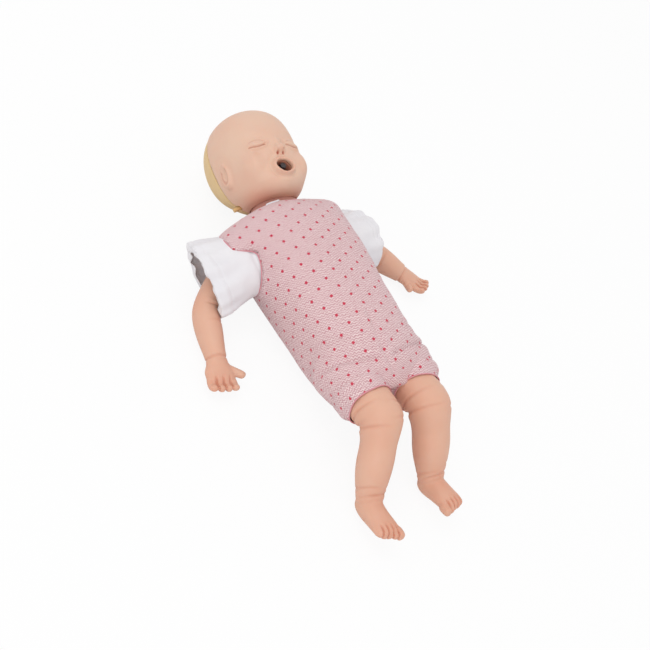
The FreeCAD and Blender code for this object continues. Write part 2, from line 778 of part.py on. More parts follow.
def neck_front():
    """Unit vector square to the neck axis, towards the throat."""
    return neck_axis().cross(Vector(1, 0, 0)) * -1


def make_neck_bearing():
    axis = neck_axis()
    base = NECK_PIVOT - axis * NECK_STEM_LENGTH
    disc = rod(base, base + axis * 8, NECK_STEM_RADIUS - NECK_WALL)
    disc = disc.cut(rod(base - axis, base + axis * 9, 5.0 + GUIDE_FIT))
    return disc.cut(airway_room())


def make_neck_yoke():
    """Turning post with a fork for the tilt pin at its top."""
    axis = neck_axis()
    base = NECK_PIVOT - axis * NECK_STEM_LENGTH
    top = base + axis * 8
    post = rod(base - axis * 4, NECK_PIVOT - axis * 12, 5.0)
    post = post.fuse(rod(base - axis * 4, base - axis * RUN_GAP, 7.0))
    post = post.fuse(rod(top + axis * RUN_GAP, top + axis * 4, 7.0))
    fork = Part.makeBox(24, 21, 12, Vector(-12, -14, -6))
    fork = fork.cut(Part.makeBox(14.6, 30, 20, Vector(-7.3, -8, -10)))
    fork.Placement = Placement(NECK_PIVOT, Rotation(Vector(0, 1, 0), axis))
    side = Vector(1, 0, 0)
    yoke = post.fuse(fork).cut(rod(NECK_PIVOT - side * 20, NECK_PIVOT + side * 20, 2.5))
    return yoke.cut(airway_room())


def make_neck_pin():
    side = Vector(1, 0, 0)
    pin = rod(NECK_PIVOT - side * 13, NECK_PIVOT + side * 13, 2.5)
    for way in (-1, 1):
        pin = pin.fuse(rod(NECK_PIVOT + side * (way * 12), NECK_PIVOT + side * (way * 14), 4.0))
    return pin


# Head


def head_lift():
    """Height of the ear line that lets the back of the skull just touch the floor."""
    flex = radians(HEAD_FLEX)
    lowest = min(y * sin(flex) + back * cos(flex) for y, _, back, _ in HEAD_SECTIONS)
    return -lowest - HEAD_SETTLE


def place_head(shape):
    """Leans the head to its left, flexes it towards the chest and lifts it to its height."""
    shape = shape.copy()
    shape.rotate(Vector(), Vector(0, 0, 1), -HEAD_LEAN)
    shape.rotate(Vector(), Vector(1, 0, 0), HEAD_FLEX)
    shape.translate(Vector(HEAD_X, HEAD_Y, head_lift()))
    return shape


def unplace_head(shape):
    """Brings a shape from its place in the manikin back to the head's own frame."""
    shape = shape.copy()
    shape.translate(Vector(-HEAD_X, -HEAD_Y, -head_lift()))
    shape.rotate(Vector(), Vector(1, 0, 0), -HEAD_FLEX)
    shape.rotate(Vector(), Vector(0, 0, 1), HEAD_LEAN)
    return shape


def head_form(inset):
    rings = []
    first, last = HEAD_SECTIONS[0][0], HEAD_SECTIONS[-1][0]
    for y, half, back, front in HEAD_SECTIONS:
        middle = (back + front) / 2
        shift = -inset if y == first else inset if y == last else 0
        reach = (front - back) / 2 - inset
        rings.append(
            section_ring(
                Vector(0, y + shift, middle),
                Vector(1, 0, 0),
                Vector(0, 0, 1),
                half - inset,
                -reach,
                reach,
                HEAD_POLES,
                0.93,
            )
        )
    return smooth_skin(rings)


def mouth_column(half_width, half_height, depth):
    """Oval column that runs from behind the lips out of the face."""
    oval = Part.Ellipse(Vector(), half_width, half_height).toShape()
    face = Part.Face(Part.Wire(oval))
    face.translate(Vector(0, MOUTH_Y, face_front(MOUTH_Y) - depth))
    return face.extrude(Vector(0, 0, depth + 30))


def face_front(y):
    """Height of the face over the ear line at a distance up the face."""
    for (y_top, _, _, top), (y_low, _, _, low) in zip(HEAD_SECTIONS, HEAD_SECTIONS[1:]):
        if y_low <= y <= y_top:
            return low + (top - low) * (y - y_low) / (y_top - y_low)
    return HEAD_SECTIONS[-1][3]


def ear_form(side):
    """Simple raised oval ear: a rim round a shallow bowl."""
    ear = egg(Vector(), 5.5, EAR_HALF_LENGTH, 9.0)
    bowl = egg(Vector(side * 5.5, 1.0, 0.5), 4.0, EAR_HALF_LENGTH * 0.67, 5.2)
    ear = ear.cut(bowl)
    ear.rotate(Vector(), Vector(1, 0, 0), 6)
    ear.rotate(Vector(), Vector(0, 1, 0), side * -4)
    ear.translate(Vector(side * 50.0, EAR_Y, EAR_Z))
    return ear


def mask_side():
    """Block in front of the skin mask's rear edge, in the head's frame."""
    lean = radians(MASK_EDGE_LEAN)
    return beyond_plane(Vector(0, 0, MASK_EDGE_Z), Vector(0, -sin(lean), cos(lean)))


def neck_room():
    """Everything that the neck needs over the whole tilt, in the head's frame."""
    axis = neck_axis()
    room = Part.makeSphere(NECK_BALL_RADIUS + RUN_GAP, NECK_PIVOT)
    step = 8.0
    tilt = -TILT_FORWARD - 2
    while tilt <= TILT_BACK + 2:
        stem = rod(NECK_PIVOT, NECK_PIVOT - axis * 70, NECK_STEM_RADIUS + 1)
        stem.rotate(NECK_PIVOT, Vector(1, 0, 0), tilt)
        room = room.fuse(stem)
        tilt += step
    return unplace_head(room)


def make_face_skin(room):
    skin = head_form(0).common(mask_side())
    nose = egg(Vector(0, NOSE_Y, face_front(NOSE_Y) - 0.5), 7.5, 7.0, 7.0)
    bridge = egg(Vector(0, NOSE_Y + 9, face_front(NOSE_Y + 9) - 3), 5.0, 12.0, 5.0)
    chin = egg(Vector(0, -57, 40), 15.0, 9.0, 10.0)
    features = [nose, bridge, chin]
    for side in (-1, 1):
        features.append(ear_form(side))
        features.append(egg(Vector(side * 26, -28, face_front(-28) - 23), 21.0, 21.0, 18.0))
        features.append(egg(Vector(side * EYE_X, EYE_Y, face_front(EYE_Y) - 15), 12.0, 8.0, 9.0))
    lips = Part.makeTorus(MOUTH_HALF_WIDTH + 1.5, 3.6)
    flatten = Matrix()
    flatten.scale(Vector(1, MOUTH_HALF_HEIGHT / MOUTH_HALF_WIDTH, 1))
    lips = lips.transformGeometry(flatten)
    lips.translate(Vector(0, MOUTH_Y, face_front(MOUTH_Y) - 1.5))
    for feature in features + [lips]:
        skin = skin.fuse(feature)
    skin = skin.cut(head_form(FACE_SKIN)).common(mask_side())
    for side in (-1, 1):
        foot = Vector(side * 3.4, NOSE_Y - 8, face_front(NOSE_Y) + 1)
        skin = skin.cut(Part.makeCylinder(1.8, 8, foot, Vector(0, 1, 0.3)))
        skin = skin.cut(peg_rod(side, GUIDE_FIT))
    skin = skin.cut(mouth_column(MOUTH_HALF_WIDTH, MOUTH_HALF_HEIGHT, 20))
    return skin.cut(room)


def make_skulls(room):
    cavity = head_form(FACE_SKIN + SKULL_WALL)
    front = head_form(FACE_SKIN).common(mask_side()).cut(cavity)
    liner = mouth_column(MOUTH_HALF_WIDTH + LINER_WALL, MOUTH_HALF_HEIGHT + LINER_WALL, 25)
    front = front.cut(liner).cut(room)
    back = head_form(SKULL_STEP).cut(mask_side()).cut(cavity).cut(room)
    for side in (-1, 1):
        front = front.cut(peg_rod(side, GUIDE_FIT / 2))
        back = back.cut(peg_rod(side, GUIDE_FIT / 2))
    return front, back


def make_mouth_liner():
    """Red cup behind the lips with a throat hole in its floor."""
    front = face_front(MOUTH_Y)
    cup = mouth_column(MOUTH_HALF_WIDTH + LINER_WALL, MOUTH_HALF_HEIGHT + LINER_WALL, MOUTH_DEPTH)
    cup = cup.cut(mouth_column(MOUTH_HALF_WIDTH, MOUTH_HALF_HEIGHT, MOUTH_DEPTH - LINER_WALL))
    cup = cup.common(head_form(FACE_SKIN))
    throat = Vector(0, MOUTH_Y, front - MOUTH_DEPTH)
    down = Vector(0, -0.3, -1).normalize()
    end = throat + down * THROAT_LENGTH
    cup = cup.fuse(rod(throat + Vector(0, 0, 1), end, THROAT_RADIUS + TUBE_WALL))
    return cup.cut(rod(throat + Vector(0, 0.6, 3), end + down * 2, THROAT_RADIUS - TUBE_WALL))


def make_choking_object():
    """Faceted plastic plug that stands on the floor of the mouth."""
    base = Vector(-1.5, MOUTH_Y + 0.5, face_front(MOUTH_Y) - MOUTH_DEPTH + LINER_WALL + RUN_GAP)
    rings = []
    for radius, height, twist in ((OBJECT_RADIUS, 0, 15), (OBJECT_RADIUS * 0.8, OBJECT_LENGTH, 40)):
        corners = [radians(60 * i + twist) for i in range(7)]
        rings.append(Part.makePolygon([Vector(radius * cos(a), radius * sin(a), height) for a in corners]))
    plug = Part.makeLoft(rings, True, True)
    plug.translate(base)
    return plug


def make_head_carrier():
    """Plate across the skull with the lug that the neck pin goes through."""
    corners = Vector(-80, CARRIER_Y - 4, -90), Vector(80, CARRIER_Y, 20)
    plate = head_form(FACE_SKIN + SKULL_WALL).common(box_between(*corners))
    carrier = place_head(plate)
    pivot = unplace_head(Part.Vertex(NECK_PIVOT)).Point
    foot = place_head(Part.Vertex(Vector(pivot.x, CARRIER_Y - 2, pivot.z))).Point
    lug = rod(NECK_PIVOT - Vector(7, 0, 0), NECK_PIVOT + Vector(7, 0, 0), 6.0)
    lug = lug.fuse(rod(along_line(NECK_PIVOT, foot, 0.1), foot, 5.0))
    carrier = carrier.fuse(lug)
    return carrier.cut(rod(NECK_PIVOT - Vector(9, 0, 0), NECK_PIVOT + Vector(9, 0, 0), 2.5 + GUIDE_FIT))


def peg_rod(side, grow):
    """Rod that pins the mask's rear corner to the skull."""
    start = Vector(side * 28, -50, MASK_EDGE_Z + 3)
    return Part.makeCylinder(PEG_RADIUS + grow, PEG_LENGTH, start, Vector(side, -0.3, -0.3))


def make_mask_peg(side, room):
    return peg_rod(side, 0).cut(head_form(FACE_SKIN + SKULL_WALL / 2)).cut(room)


def airway_centres():
    """Control points of the airway tube, from the bellows up through the neck to the throat."""
    axis = neck_axis()
    port = bellows_port() + Vector(0, BELLOWS_RADIUS + 2, 0)
    straight = NECK_PIVOT + neck_front() * 13
    neck = [straight - axis * height for height in (46, 34, 22, 12, 4)]
    down = Vector(0, -0.3, -1).normalize()
    liner = Vector(0, MOUTH_Y, face_front(MOUTH_Y) - MOUTH_DEPTH) + down * THROAT_LENGTH
    throat = place_head(Part.Vertex(liner)).Point
    back = place_head(Part.Vertex(liner + down * 6)).Point
    return [port, port + Vector(0, 7, 1)] + neck + [back, throat]


def airway_room():
    """Slot that the airway tube needs in what it passes."""
    radius = TUBE_RADIUS + RUN_GAP
    return limb_form([(centre, radius, radius) for centre in airway_centres()], Vector(1, 0, 0))


def make_airway_tube():
    centres = airway_centres()
    outer = [(centre, TUBE_RADIUS, TUBE_RADIUS) for centre in centres]
    bore = TUBE_RADIUS - TUBE_WALL
    beyond = [centres[0] * 2 - centres[1]] + centres + [centres[-1] * 2 - centres[-2]]
    inner = [(centre, bore, bore) for centre in beyond]
    sideways = Vector(1, 0, 0)
    return limb_form(outer, sideways).cut(limb_form(inner, sideways))


def build():
    room = neck_room()
    for name, pose in ARM_ANGLES.items():
        save(make_arm(pose), name + "_arm")
        side = pose["side"]
        save(limb_plug(shoulder_point(side), shoulder_axis(side)), name + "_arm_plug")
        save(make_leg(side), name + "_leg")
        save(limb_plug(hip_point(side), hip_axis(side)), name + "_leg_plug")
        save(place_head(make_mask_peg(side, room)), "mask_peg_" + name)
    save(make_romper(), "romper")
    save(make_undershirt(), "undershirt")
    front, back = make_shells()
    save(front, "chest_shell")
    save(back, "back_shell")
    save(Part.makeCompound(shell_screws(0)), "shell_screws")
    save(make_chest_plate(), "chest_plate")
    save(make_guide_rod(), "guide_rod")
    save(make_guide_tube(), "guide_tube")
    save(make_spring(), "chest_spring")
    save(make_bellows(), "lung_bellows")
    save(make_neck_skin(), "neck_skin")
    save(make_neck_bearing(), "neck_bearing")
    save(make_neck_yoke(), "neck_yoke")
    save(make_neck_pin(), "neck_pin")
    save(place_head(make_face_skin(room)), "face_skin")
    skull_front, skull_back = make_skulls(room)
    save(place_head(skull_front), "skull_front")
    save(place_head(skull_back), "skull_back")
    save(place_head(make_mouth_liner()), "mouth_liner")
    save(place_head(make_choking_object()), "choking_object")
    save(make_head_carrier(), "head_carrier")
    save(make_airway_tube(), "airway_tube")


build()
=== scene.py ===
import math

import bmesh
import bpy
import numpy as np
from mathutils import Matrix, Vector, noise
from mathutils.bvhtree import BVHTree


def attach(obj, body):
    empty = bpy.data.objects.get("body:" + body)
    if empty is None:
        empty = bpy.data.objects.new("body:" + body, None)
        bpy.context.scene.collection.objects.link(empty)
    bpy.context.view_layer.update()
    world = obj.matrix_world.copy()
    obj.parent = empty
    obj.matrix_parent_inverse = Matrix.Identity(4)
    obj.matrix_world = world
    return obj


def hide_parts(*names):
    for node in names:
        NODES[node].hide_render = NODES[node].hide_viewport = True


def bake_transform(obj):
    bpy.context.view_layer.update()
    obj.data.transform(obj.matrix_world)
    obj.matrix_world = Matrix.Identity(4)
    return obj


# Looks of the infant choking training manikin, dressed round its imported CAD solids.
# Metres; +Y to the crown, +Z out of the chest, +X to the manikin's own left.

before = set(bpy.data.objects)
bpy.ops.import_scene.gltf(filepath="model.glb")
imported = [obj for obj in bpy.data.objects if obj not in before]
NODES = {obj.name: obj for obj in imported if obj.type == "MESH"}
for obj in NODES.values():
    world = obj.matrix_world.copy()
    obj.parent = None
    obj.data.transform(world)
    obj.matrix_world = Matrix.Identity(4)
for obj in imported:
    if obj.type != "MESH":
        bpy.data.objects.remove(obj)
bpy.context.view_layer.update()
MM = 0.001


# Meshes


def add_piece(name, mesh):
    piece = bpy.data.objects.new(name, mesh)
    bpy.context.scene.collection.objects.link(piece)
    return piece


def merged_copy(name, *nodes):
    """One piece from copies of CAD nodes, their loose triangles joined."""
    work = bmesh.new()
    for node in nodes:
        work.from_mesh(NODES[node].data)
    bmesh.ops.remove_doubles(work, verts=work.verts, dist=2e-5)
    mesh = bpy.data.meshes.new(name)
    work.to_mesh(mesh)
    work.free()
    return add_piece(name, mesh)


def settle(piece):
    """Applies the piece's modifiers to its mesh."""
    shaped = piece.evaluated_get(bpy.context.evaluated_depsgraph_get())
    mesh = bpy.data.meshes.new_from_object(shaped)
    piece.modifiers.clear()
    piece.data = mesh


def even_faces(piece, size):
    """Rebuilds the surface in even faces of that size, so that joins melt together."""
    remesh = piece.modifiers.new("even faces", "REMESH")
    remesh.mode = "VOXEL"
    remesh.voxel_size = size
    settle(piece)


def places(mesh):
    spots = np.empty(len(mesh.vertices) * 3)
    mesh.vertices.foreach_get("co", spots)
    return spots.reshape(-1, 3)


def set_places(mesh, spots):
    mesh.vertices.foreach_set("co", np.ascontiguousarray(spots).ravel())
    mesh.update()


def outward(mesh):
    ways = np.empty(len(mesh.vertices) * 3)
    mesh.vertex_normals.foreach_get("vector", ways)
    return ways.reshape(-1, 3)


def relax(mesh, weight, rounds):
    """Draws each point towards the mean of its neighbours, as far as its weight says."""
    ends = np.empty(len(mesh.edges) * 2, dtype=np.int64)
    mesh.edges.foreach_get("vertices", ends)
    ends = ends.reshape(-1, 2)
    first = np.concatenate([ends[:, 0], ends[:, 1]])
    second = np.concatenate([ends[:, 1], ends[:, 0]])
    spots = places(mesh)
    count = np.maximum(np.bincount(first, minlength=len(spots)), 1)
    weight = np.broadcast_to(weight, len(spots))[:, None]
    for _ in range(rounds):
        mean = np.stack(
            [np.bincount(first, spots[second, axis], minlength=len(spots)) for axis in range(3)], axis=1
        )
        spots = spots + weight * (mean / count[:, None] - spots)
    set_places(mesh, spots)


def smooth_shading(piece):
    piece.data.polygons.foreach_set("use_smooth", [True] * len(piece.data.polygons))


def store_tint_and_shade(piece, name, values):
    """Keeps a number for each point, for a material to read; the script keeps real blush and painted
    shade this way.
    """
    layer = piece.data.attributes.new(name, "FLOAT", "POINT")
    layer.data.foreach_set("value", np.clip(values, 0, 1).astype(np.float32))


def bell(distance, width):
    return np.exp(-((distance / width) ** 2))


def smooth_step(value, low, high):
    share = np.clip((value - low) / (high - low), 0, 1)
    return share * share * (3 - 2 * share)


def near(spots, centre, reach):
    """Soft spot, 1 at the centre and fading over a reach for each axis."""
    return np.exp(-((((spots - np.array(centre)) / np.array(reach)) ** 2).sum(axis=1)))


def path_distance(flat, path):
    """Distance of points from an open line through the path's points."""
    best = np.full(len(flat), 1e9)
    path = np.array(path, dtype=float)
    for start, end in zip(path[:-1], path[1:]):
        along = end - start
        share = np.clip(((flat - start) @ along) / (along @ along), 0, 1)
        best = np.minimum(best, np.linalg.norm(flat - start - share[:, None] * along, axis=1))
    return best


# Cloth surfaces, on the same control rings as the CAD's clothes, in millimetres

TRUNK_SECTIONS = [
    (-153, 14, 40, 76),
    (-147, 34, 25, 93),
    (-125, 52, 6, 109),
    (-91, 61.5, -5, 118),
    (-47, 67, -6, 122),
    (0, 71.5, -6, 123),
    (47, 75, -5, 122),
    (91, 76, -3, 119),
    (112, 75, 5, 111),
    (124, 63, 17, 103),
    (130, 40, 30, 90),
]
SQUARENESS = 0.82
SIDE_BEND = 4.5
ARMHOLE_CENTRE = (78.0, 48.0)
ARMHOLE_HALVES = (44.0, 34.0)
NECK_FOOT = np.array([0, 104, 84.0])
NECK_WAY = np.array([0, 60, -26.0]) / math.hypot(60, 26)
NECK_PIVOT = np.array([0, 147, 64.0])
NECK_LEAN = np.array([0, math.cos(math.radians(8)), math.sin(math.radians(8))])
SHOULDER = {side: np.array([side * 62.0, 97, 55]) for side in (-1, 1)}
HIP = {side: np.array([side * 35.5 + SIDE_BEND * 111.5 / 140, -91.5, 55]) for side in (-1, 1)}
THIGH_OUT = {-1: 6.0, 1: -4.0}
ROMPER_NECK = 25.0
SHIRT_NECK = 23.5
SLEEVE_END = {-1: ((-122, 72, 35), 51, 32), 1: ((119, 88, 39), 45, 34)}


def direction(side, out, rise):
    out, rise = math.radians(out), math.radians(rise)
    flat = math.cos(rise)
    return np.array([side * math.sin(out) * flat, -math.cos(out) * flat, math.sin(rise)])


def ring(centre, across, up, half_across, low, high, poles, power=1.0):
    """Control ring of one section, as the CAD's cloth has it."""
    angle = 2 * math.pi * np.arange(poles) / poles
    outside = 1.0 / (2.0 / 3 + math.cos(2 * math.pi / poles) / 3)
    shape = [np.sign(np.round(f(angle), 9)) * np.abs(f(angle)) ** power for f in (np.cos, np.sin)]
    reach = np.where(np.sin(angle) > 0, high, -low)
    x, z = half_across * outside * shape[0], reach * outside * shape[1]
    return np.array(centre) + np.outer(x, across) + np.outer(z, up)


def clamped_weights(rows, at):
    """Cubic B-spline weights of the rows at each place from 0 to rows - 3."""
    knots = np.array([0] * 3 + list(range(rows - 2)) + [rows - 3] * 3, dtype=float)
    at = np.clip(at, 0, rows - 3 - 1e-9)
    weight = [((at >= a) & (at < b)).astype(float) for a, b in zip(knots, knots[1:])]
    for degree in (1, 2, 3):
        raised = []
        for i in range(len(weight) - 1):
            left, right = knots[i + degree] - knots[i], knots[i + degree + 1] - knots[i + 1]
            part = (at - knots[i]) / left * weight[i] if left > 0 else 0
            other = (knots[i + degree + 1] - at) / right * weight[i + 1] if right > 0 else 0
            raised.append(part + other)
        weight = raised
    return np.stack(weight, axis=1)


def round_weights(poles, angle):
    """Cubic B-spline weights of a closed ring's poles at each angle."""
    step = np.mod(angle / (2 * math.pi), 1) * poles
    first = np.floor(step).astype(int)
    w = step - first
    parts = [(1 - w) ** 3, 3 * w**3 - 6 * w**2 + 4, -3 * w**3 + 3 * w**2 + 3 * w + 1, w**3]
    weight = np.zeros((len(angle), poles))
    for shift, part in enumerate(parts):
        np.add.at(weight, (np.arange(len(angle)), (first + shift - 1) % poles), part / 6)
    return weight


def cloth_surface(rings, at, angle):
    """Points of the cloth sheet at each place along and angle round."""
    around = len(rings[0])
    first = np.tile(rings[0].mean(0), (around, 1))
    last = np.tile(rings[-1].mean(0), (around, 1))
    rows = np.stack([first, *rings, last])
    weights = clamped_weights(len(rows), at)
    return np.einsum("ti,ijc,aj->tac", weights, rows, round_weights(around, angle))


def side_bend(y):
    return SIDE_BEND * min(max((20.0 - y) / 140.0, 0.0), 1.0)


def trunk_rings(inset):
    rings = []
    for i, (y, half, back, front) in enumerate(TRUNK_SECTIONS):
        shift = inset if i == 0 else -inset if i == len(TRUNK_SECTIONS) - 1 else 0
        reach = (front - back) / 2 - inset
        centre = (side_bend(y), y + shift, (back + front) / 2)
        rings.append(ring(centre, (1, 0, 0), (0, 0, 1), half - inset, -reach, reach, 20, SQUARENESS))
    return rings


def tube_rings(stations, poles=14):
    """Control rings of a tube through stations of centre, half width and half height."""
    rings = []
    for i, (centre, half_width, half_height) in enumerate(stations):
        along = stations[min(i + 1, len(stations) - 1)][0] - stations[max(i - 1, 0)][0]
        across = np.cross(along, (0, 0, 1))
        across /= np.linalg.norm(across)
        up = np.cross(across, along / np.linalg.norm(along))
        rings.append(ring(centre, across, up, half_width, -half_height, half_height, poles))
    return rings


def grid_normals(points):
    """Outward unit normals of a closed grid of points."""
    around = np.roll(points, -1, axis=1) - np.roll(points, 1, axis=1)
    along = np.gradient(points, axis=0)
    ways = np.cross(around, along)
    ways /= np.maximum(np.linalg.norm(ways, axis=2, keepdims=True), 1e-9)
    middle = points.mean(axis=1, keepdims=True)
    if ((points - middle) * ways).sum() < 0:
        ways = -ways
    return ways


def cloth_mesh(name, points, uv, keep=None, snap=None):
    """Sheet of cloth from a grid: points are moved on to it, and faces out of keep are deleted."""
    rows, columns = points.shape[:2]
    work = bmesh.new()
    bmesh.ops.create_grid(work, x_segments=columns, y_segments=rows - 1, size=1.0)
    layer = work.loops.layers.uv.new("Cloth")
    where = {}
    for vert in work.verts:
        column = round((vert.co.x + 1) / 2 * columns)
        row = round((vert.co.y + 1) / 2 * (rows - 1))
        where[vert] = (row, column)
    for face in work.faces:
        for loop in face.loops:
            row, column = where[loop.vert]
            loop[layer].uv = uv[row, column]
    gone = []
    for vert, (row, column) in where.items():
        vert.co = Vector(points[row, column % columns]) * MM
        if keep is not None and not keep[row, column % columns]:
            gone.append(vert)
    bmesh.ops.delete(work, geom=gone, context="VERTS")
    bmesh.ops.remove_doubles(work, verts=work.verts, dist=1e-6)
    if snap is not None:
        for vert in work.verts:
            if vert.is_boundary:
                vert.co = Vector(snap(np.array(vert.co) / MM)) * MM
    bmesh.ops.recalc_face_normals(work, faces=work.faces)
    mesh = bpy.data.meshes.new(name)
    work.to_mesh(mesh)
    work.free()
    return add_piece(name, mesh)


def cloth_uv(points, front):
    """Flat cloth coordinates in metres, measured along the surface from the front line."""
    rows, columns = points.shape[:2]
    closed = np.concatenate([points, points[:, :1]], axis=1)
    steps = np.linalg.norm(np.diff(closed, axis=1), axis=2)
    across = np.concatenate([np.zeros((rows, 1)), np.cumsum(steps, axis=1)], axis=1)
    across -= across[:, front : front + 1]
    lines = np.linalg.norm(np.diff(points, axis=0), axis=2).mean(axis=1)
    along = np.concatenate([[0], np.cumsum(lines)])
    return np.stack([across, np.broadcast_to(along[:, None], across.shape)], axis=2) * MM


def ripple(points, scale, height, seed):
    """Uneven swelling of the cloth, the same each run."""
    flat = points.reshape(-1, 3) / scale
    values = np.array([noise.noise(Vector((p[0] + seed, p[1], p[2]))) for p in flat])
    return values.reshape(points.shape[:2]) * height


def fold(points, path, width, depth, ridge=0.5):
    """Crease along a line seen from above, with a soft ridge beside it."""
    flat = points.reshape(-1, 3)[:, :2]
    distance = path_distance(flat, path).reshape(points.shape[:2])
    top = 1 / (1 + np.exp(-(points[:, :, 2] - 62) / 8))
    raised = ridge * bell(distance - 2.2 * width, 1.6 * width)
    return top * depth * (raised - bell(distance, width))


def in_armhole(points, grow):
    """Where the romper or shirt is open at the side for the arm."""
    y = (points[..., 1] - ARMHOLE_CENTRE[0]) / (ARMHOLE_HALVES[0] + grow)
    z = (points[..., 2] - ARMHOLE_CENTRE[1]) / (ARMHOLE_HALVES[1] + grow)
    return (np.abs(points[..., 0]) > 40) & (y**2 + z**2 < 1)


def neck_distance(points):
    flat = points - NECK_FOOT
    return np.linalg.norm(flat - (flat @ NECK_WAY)[..., None] * NECK_WAY, axis=-1)


def in_neckline(points, radius):
    return (neck_distance(points) < radius) & (points[..., 1] > 96)


def snap_openings(radius, grow):
    """Draws the cut edge of a garment on to its neck circle or armhole oval."""

    def snap(spot):
        if abs(neck_distance(spot) - radius) < 4 and spot[1] > 100:
            flat = spot - NECK_FOOT
            foot = NECK_FOOT + (flat @ NECK_WAY) * NECK_WAY
            return foot + (spot - foot) / np.linalg.norm(spot - foot) * radius
        y, z = spot[1] - ARMHOLE_CENTRE[0], spot[2] - ARMHOLE_CENTRE[1]
        size = math.hypot(y / (ARMHOLE_HALVES[0] + grow), z / (ARMHOLE_HALVES[1] + grow))
        if abs(spot[0]) > 40 and 0.9 < size < 1.15 and spot[1] > 20:
            return np.array([spot[0], ARMHOLE_CENTRE[0] + y / size, ARMHOLE_CENTRE[1] + z / size])
        return spot

    return snap


def thicken(piece, thickness):
    solid = piece.modifiers.new("cloth", "SOLIDIFY")
    solid.thickness = thickness
    solid.offset = -1
    solid.use_rim = True
    settle(piece)
    smooth_shading(piece)


def edge_loops(piece):
    """The open edges of a sheet, as lists of points in order."""
    work = bmesh.new()
    work.from_mesh(piece.data)
    edges = {edge for edge in work.edges if edge.is_boundary}
    loops = []
    while edges:
        edge = edges.pop()
        start, vert = edge.verts
        loop = [start.co.copy(), vert.co.copy()]
        while True:
            onward = [e for e in vert.link_edges if e in edges]
            if not onward:
                break
            edges.discard(onward[0])
            vert = onward[0].other_vert(vert)
            if vert is start:
                break
            loop.append(vert.co.copy())
        loops.append(loop)
    work.free()
    return loops


def piping(name, loop, radius, rise=0.0, closed=True):
    """Rolled hem along a line of points."""
    spots = np.array(loop)
    for _ in range(6 if closed else 0):
        spots = (np.roll(spots, 1, axis=0) + np.roll(spots, -1, axis=0) + 2 * spots) / 4
    line = bpy.data.curves.new(name, "CURVE")
    line.dimensions = "3D"
    line.bevel_depth = radius
    line.bevel_resolution = 3
    spline = line.splines.new("POLY")
    spline.points.add(len(spots) - 1)
    for point, spot in zip(spline.points, spots):
        point.co = (spot[0], spot[1], spot[2] + rise, 1)
    spline.use_cyclic_u = closed
    line.use_fill_caps = not closed
    rope = bpy.data.objects.new(name, line)
    mesh = bpy.data.meshes.new_from_object(rope)
    bpy.data.objects.remove(rope)
    piece = add_piece(name, mesh)
    smooth_shading(piece)
    return piece


# Shader node helpers


class Wiring:
    """Short way to place and join nodes in one tree."""

    def __init__(self, tree):
        self.tree = tree
        self.count = 0

    def node(self, kind, **settings):
        made = self.tree.nodes.new(kind)
        self.count += 1
        made.location = (self.count % 9 * 190 - 900, self.count // 9 * -260)
        for name, value in settings.items():
            setattr(made, name, value)
        return made

    def join(self, output, socket):
        self.tree.links.new(output, socket)

    def math(self, operation, *inputs):
        made = self.node("ShaderNodeMath", operation=operation)
        for i, value in enumerate(inputs):
            self.give(made.inputs[i], value)
        return made.outputs[0]

    def give(self, socket, value):
        if isinstance(value, bpy.types.NodeSocket):
            self.join(value, socket)
        else:
            socket.default_value = value

    def ramp(self, value, stops):
        made = self.node("ShaderNodeValToRGB")
        ramp = made.color_ramp
        for i, (place, level) in enumerate(stops):
            stop = ramp.elements[i] if i < 2 else ramp.elements.new(place)
            stop.position = place
            stop.color = (level, level, level, 1)
        self.join(value, made.inputs[0])
        return made.outputs[0]

    def mix(self, factor, first, second):
        made = self.node("ShaderNodeMix", data_type="RGBA")
        self.give(made.inputs["Factor"], factor)
        self.give(made.inputs["A"], first)
        self.give(made.inputs["B"], second)
        return made.outputs["Result"]

    def noise(self, vector, scale, detail=2.0, roughness=0.5):
        made = self.node("ShaderNodeTexNoise")
        self.join(vector, made.inputs["Vector"])
        made.inputs["Scale"].default_value = scale
        made.inputs["Detail"].default_value = detail
        made.inputs["Roughness"].default_value = roughness
        return made.outputs[0]


def linear(red, green, blue):
    """Colour as a screen shows it, 0 to 255, turned to linear light."""
    parts = [c / 255 for c in (red, green, blue)]
    return tuple(c / 12.92 if c < 0.04045 else ((c + 0.055) / 1.055) ** 2.4 for c in parts) + (1.0,)


def group(name, inputs, outputs):
    tree = bpy.data.node_groups.new(name, "ShaderNodeTree")
    for label, kind, value in inputs:
        socket = tree.interface.new_socket(name=label, in_out="INPUT", socket_type=kind)
        if value is not None:
            socket.default_value = value
    for label, kind in outputs:
        tree.interface.new_socket(name=label, in_out="OUTPUT", socket_type=kind)
    wires = Wiring(tree)
    return tree, wires, wires.node("NodeGroupInput"), wires.node("NodeGroupOutput")


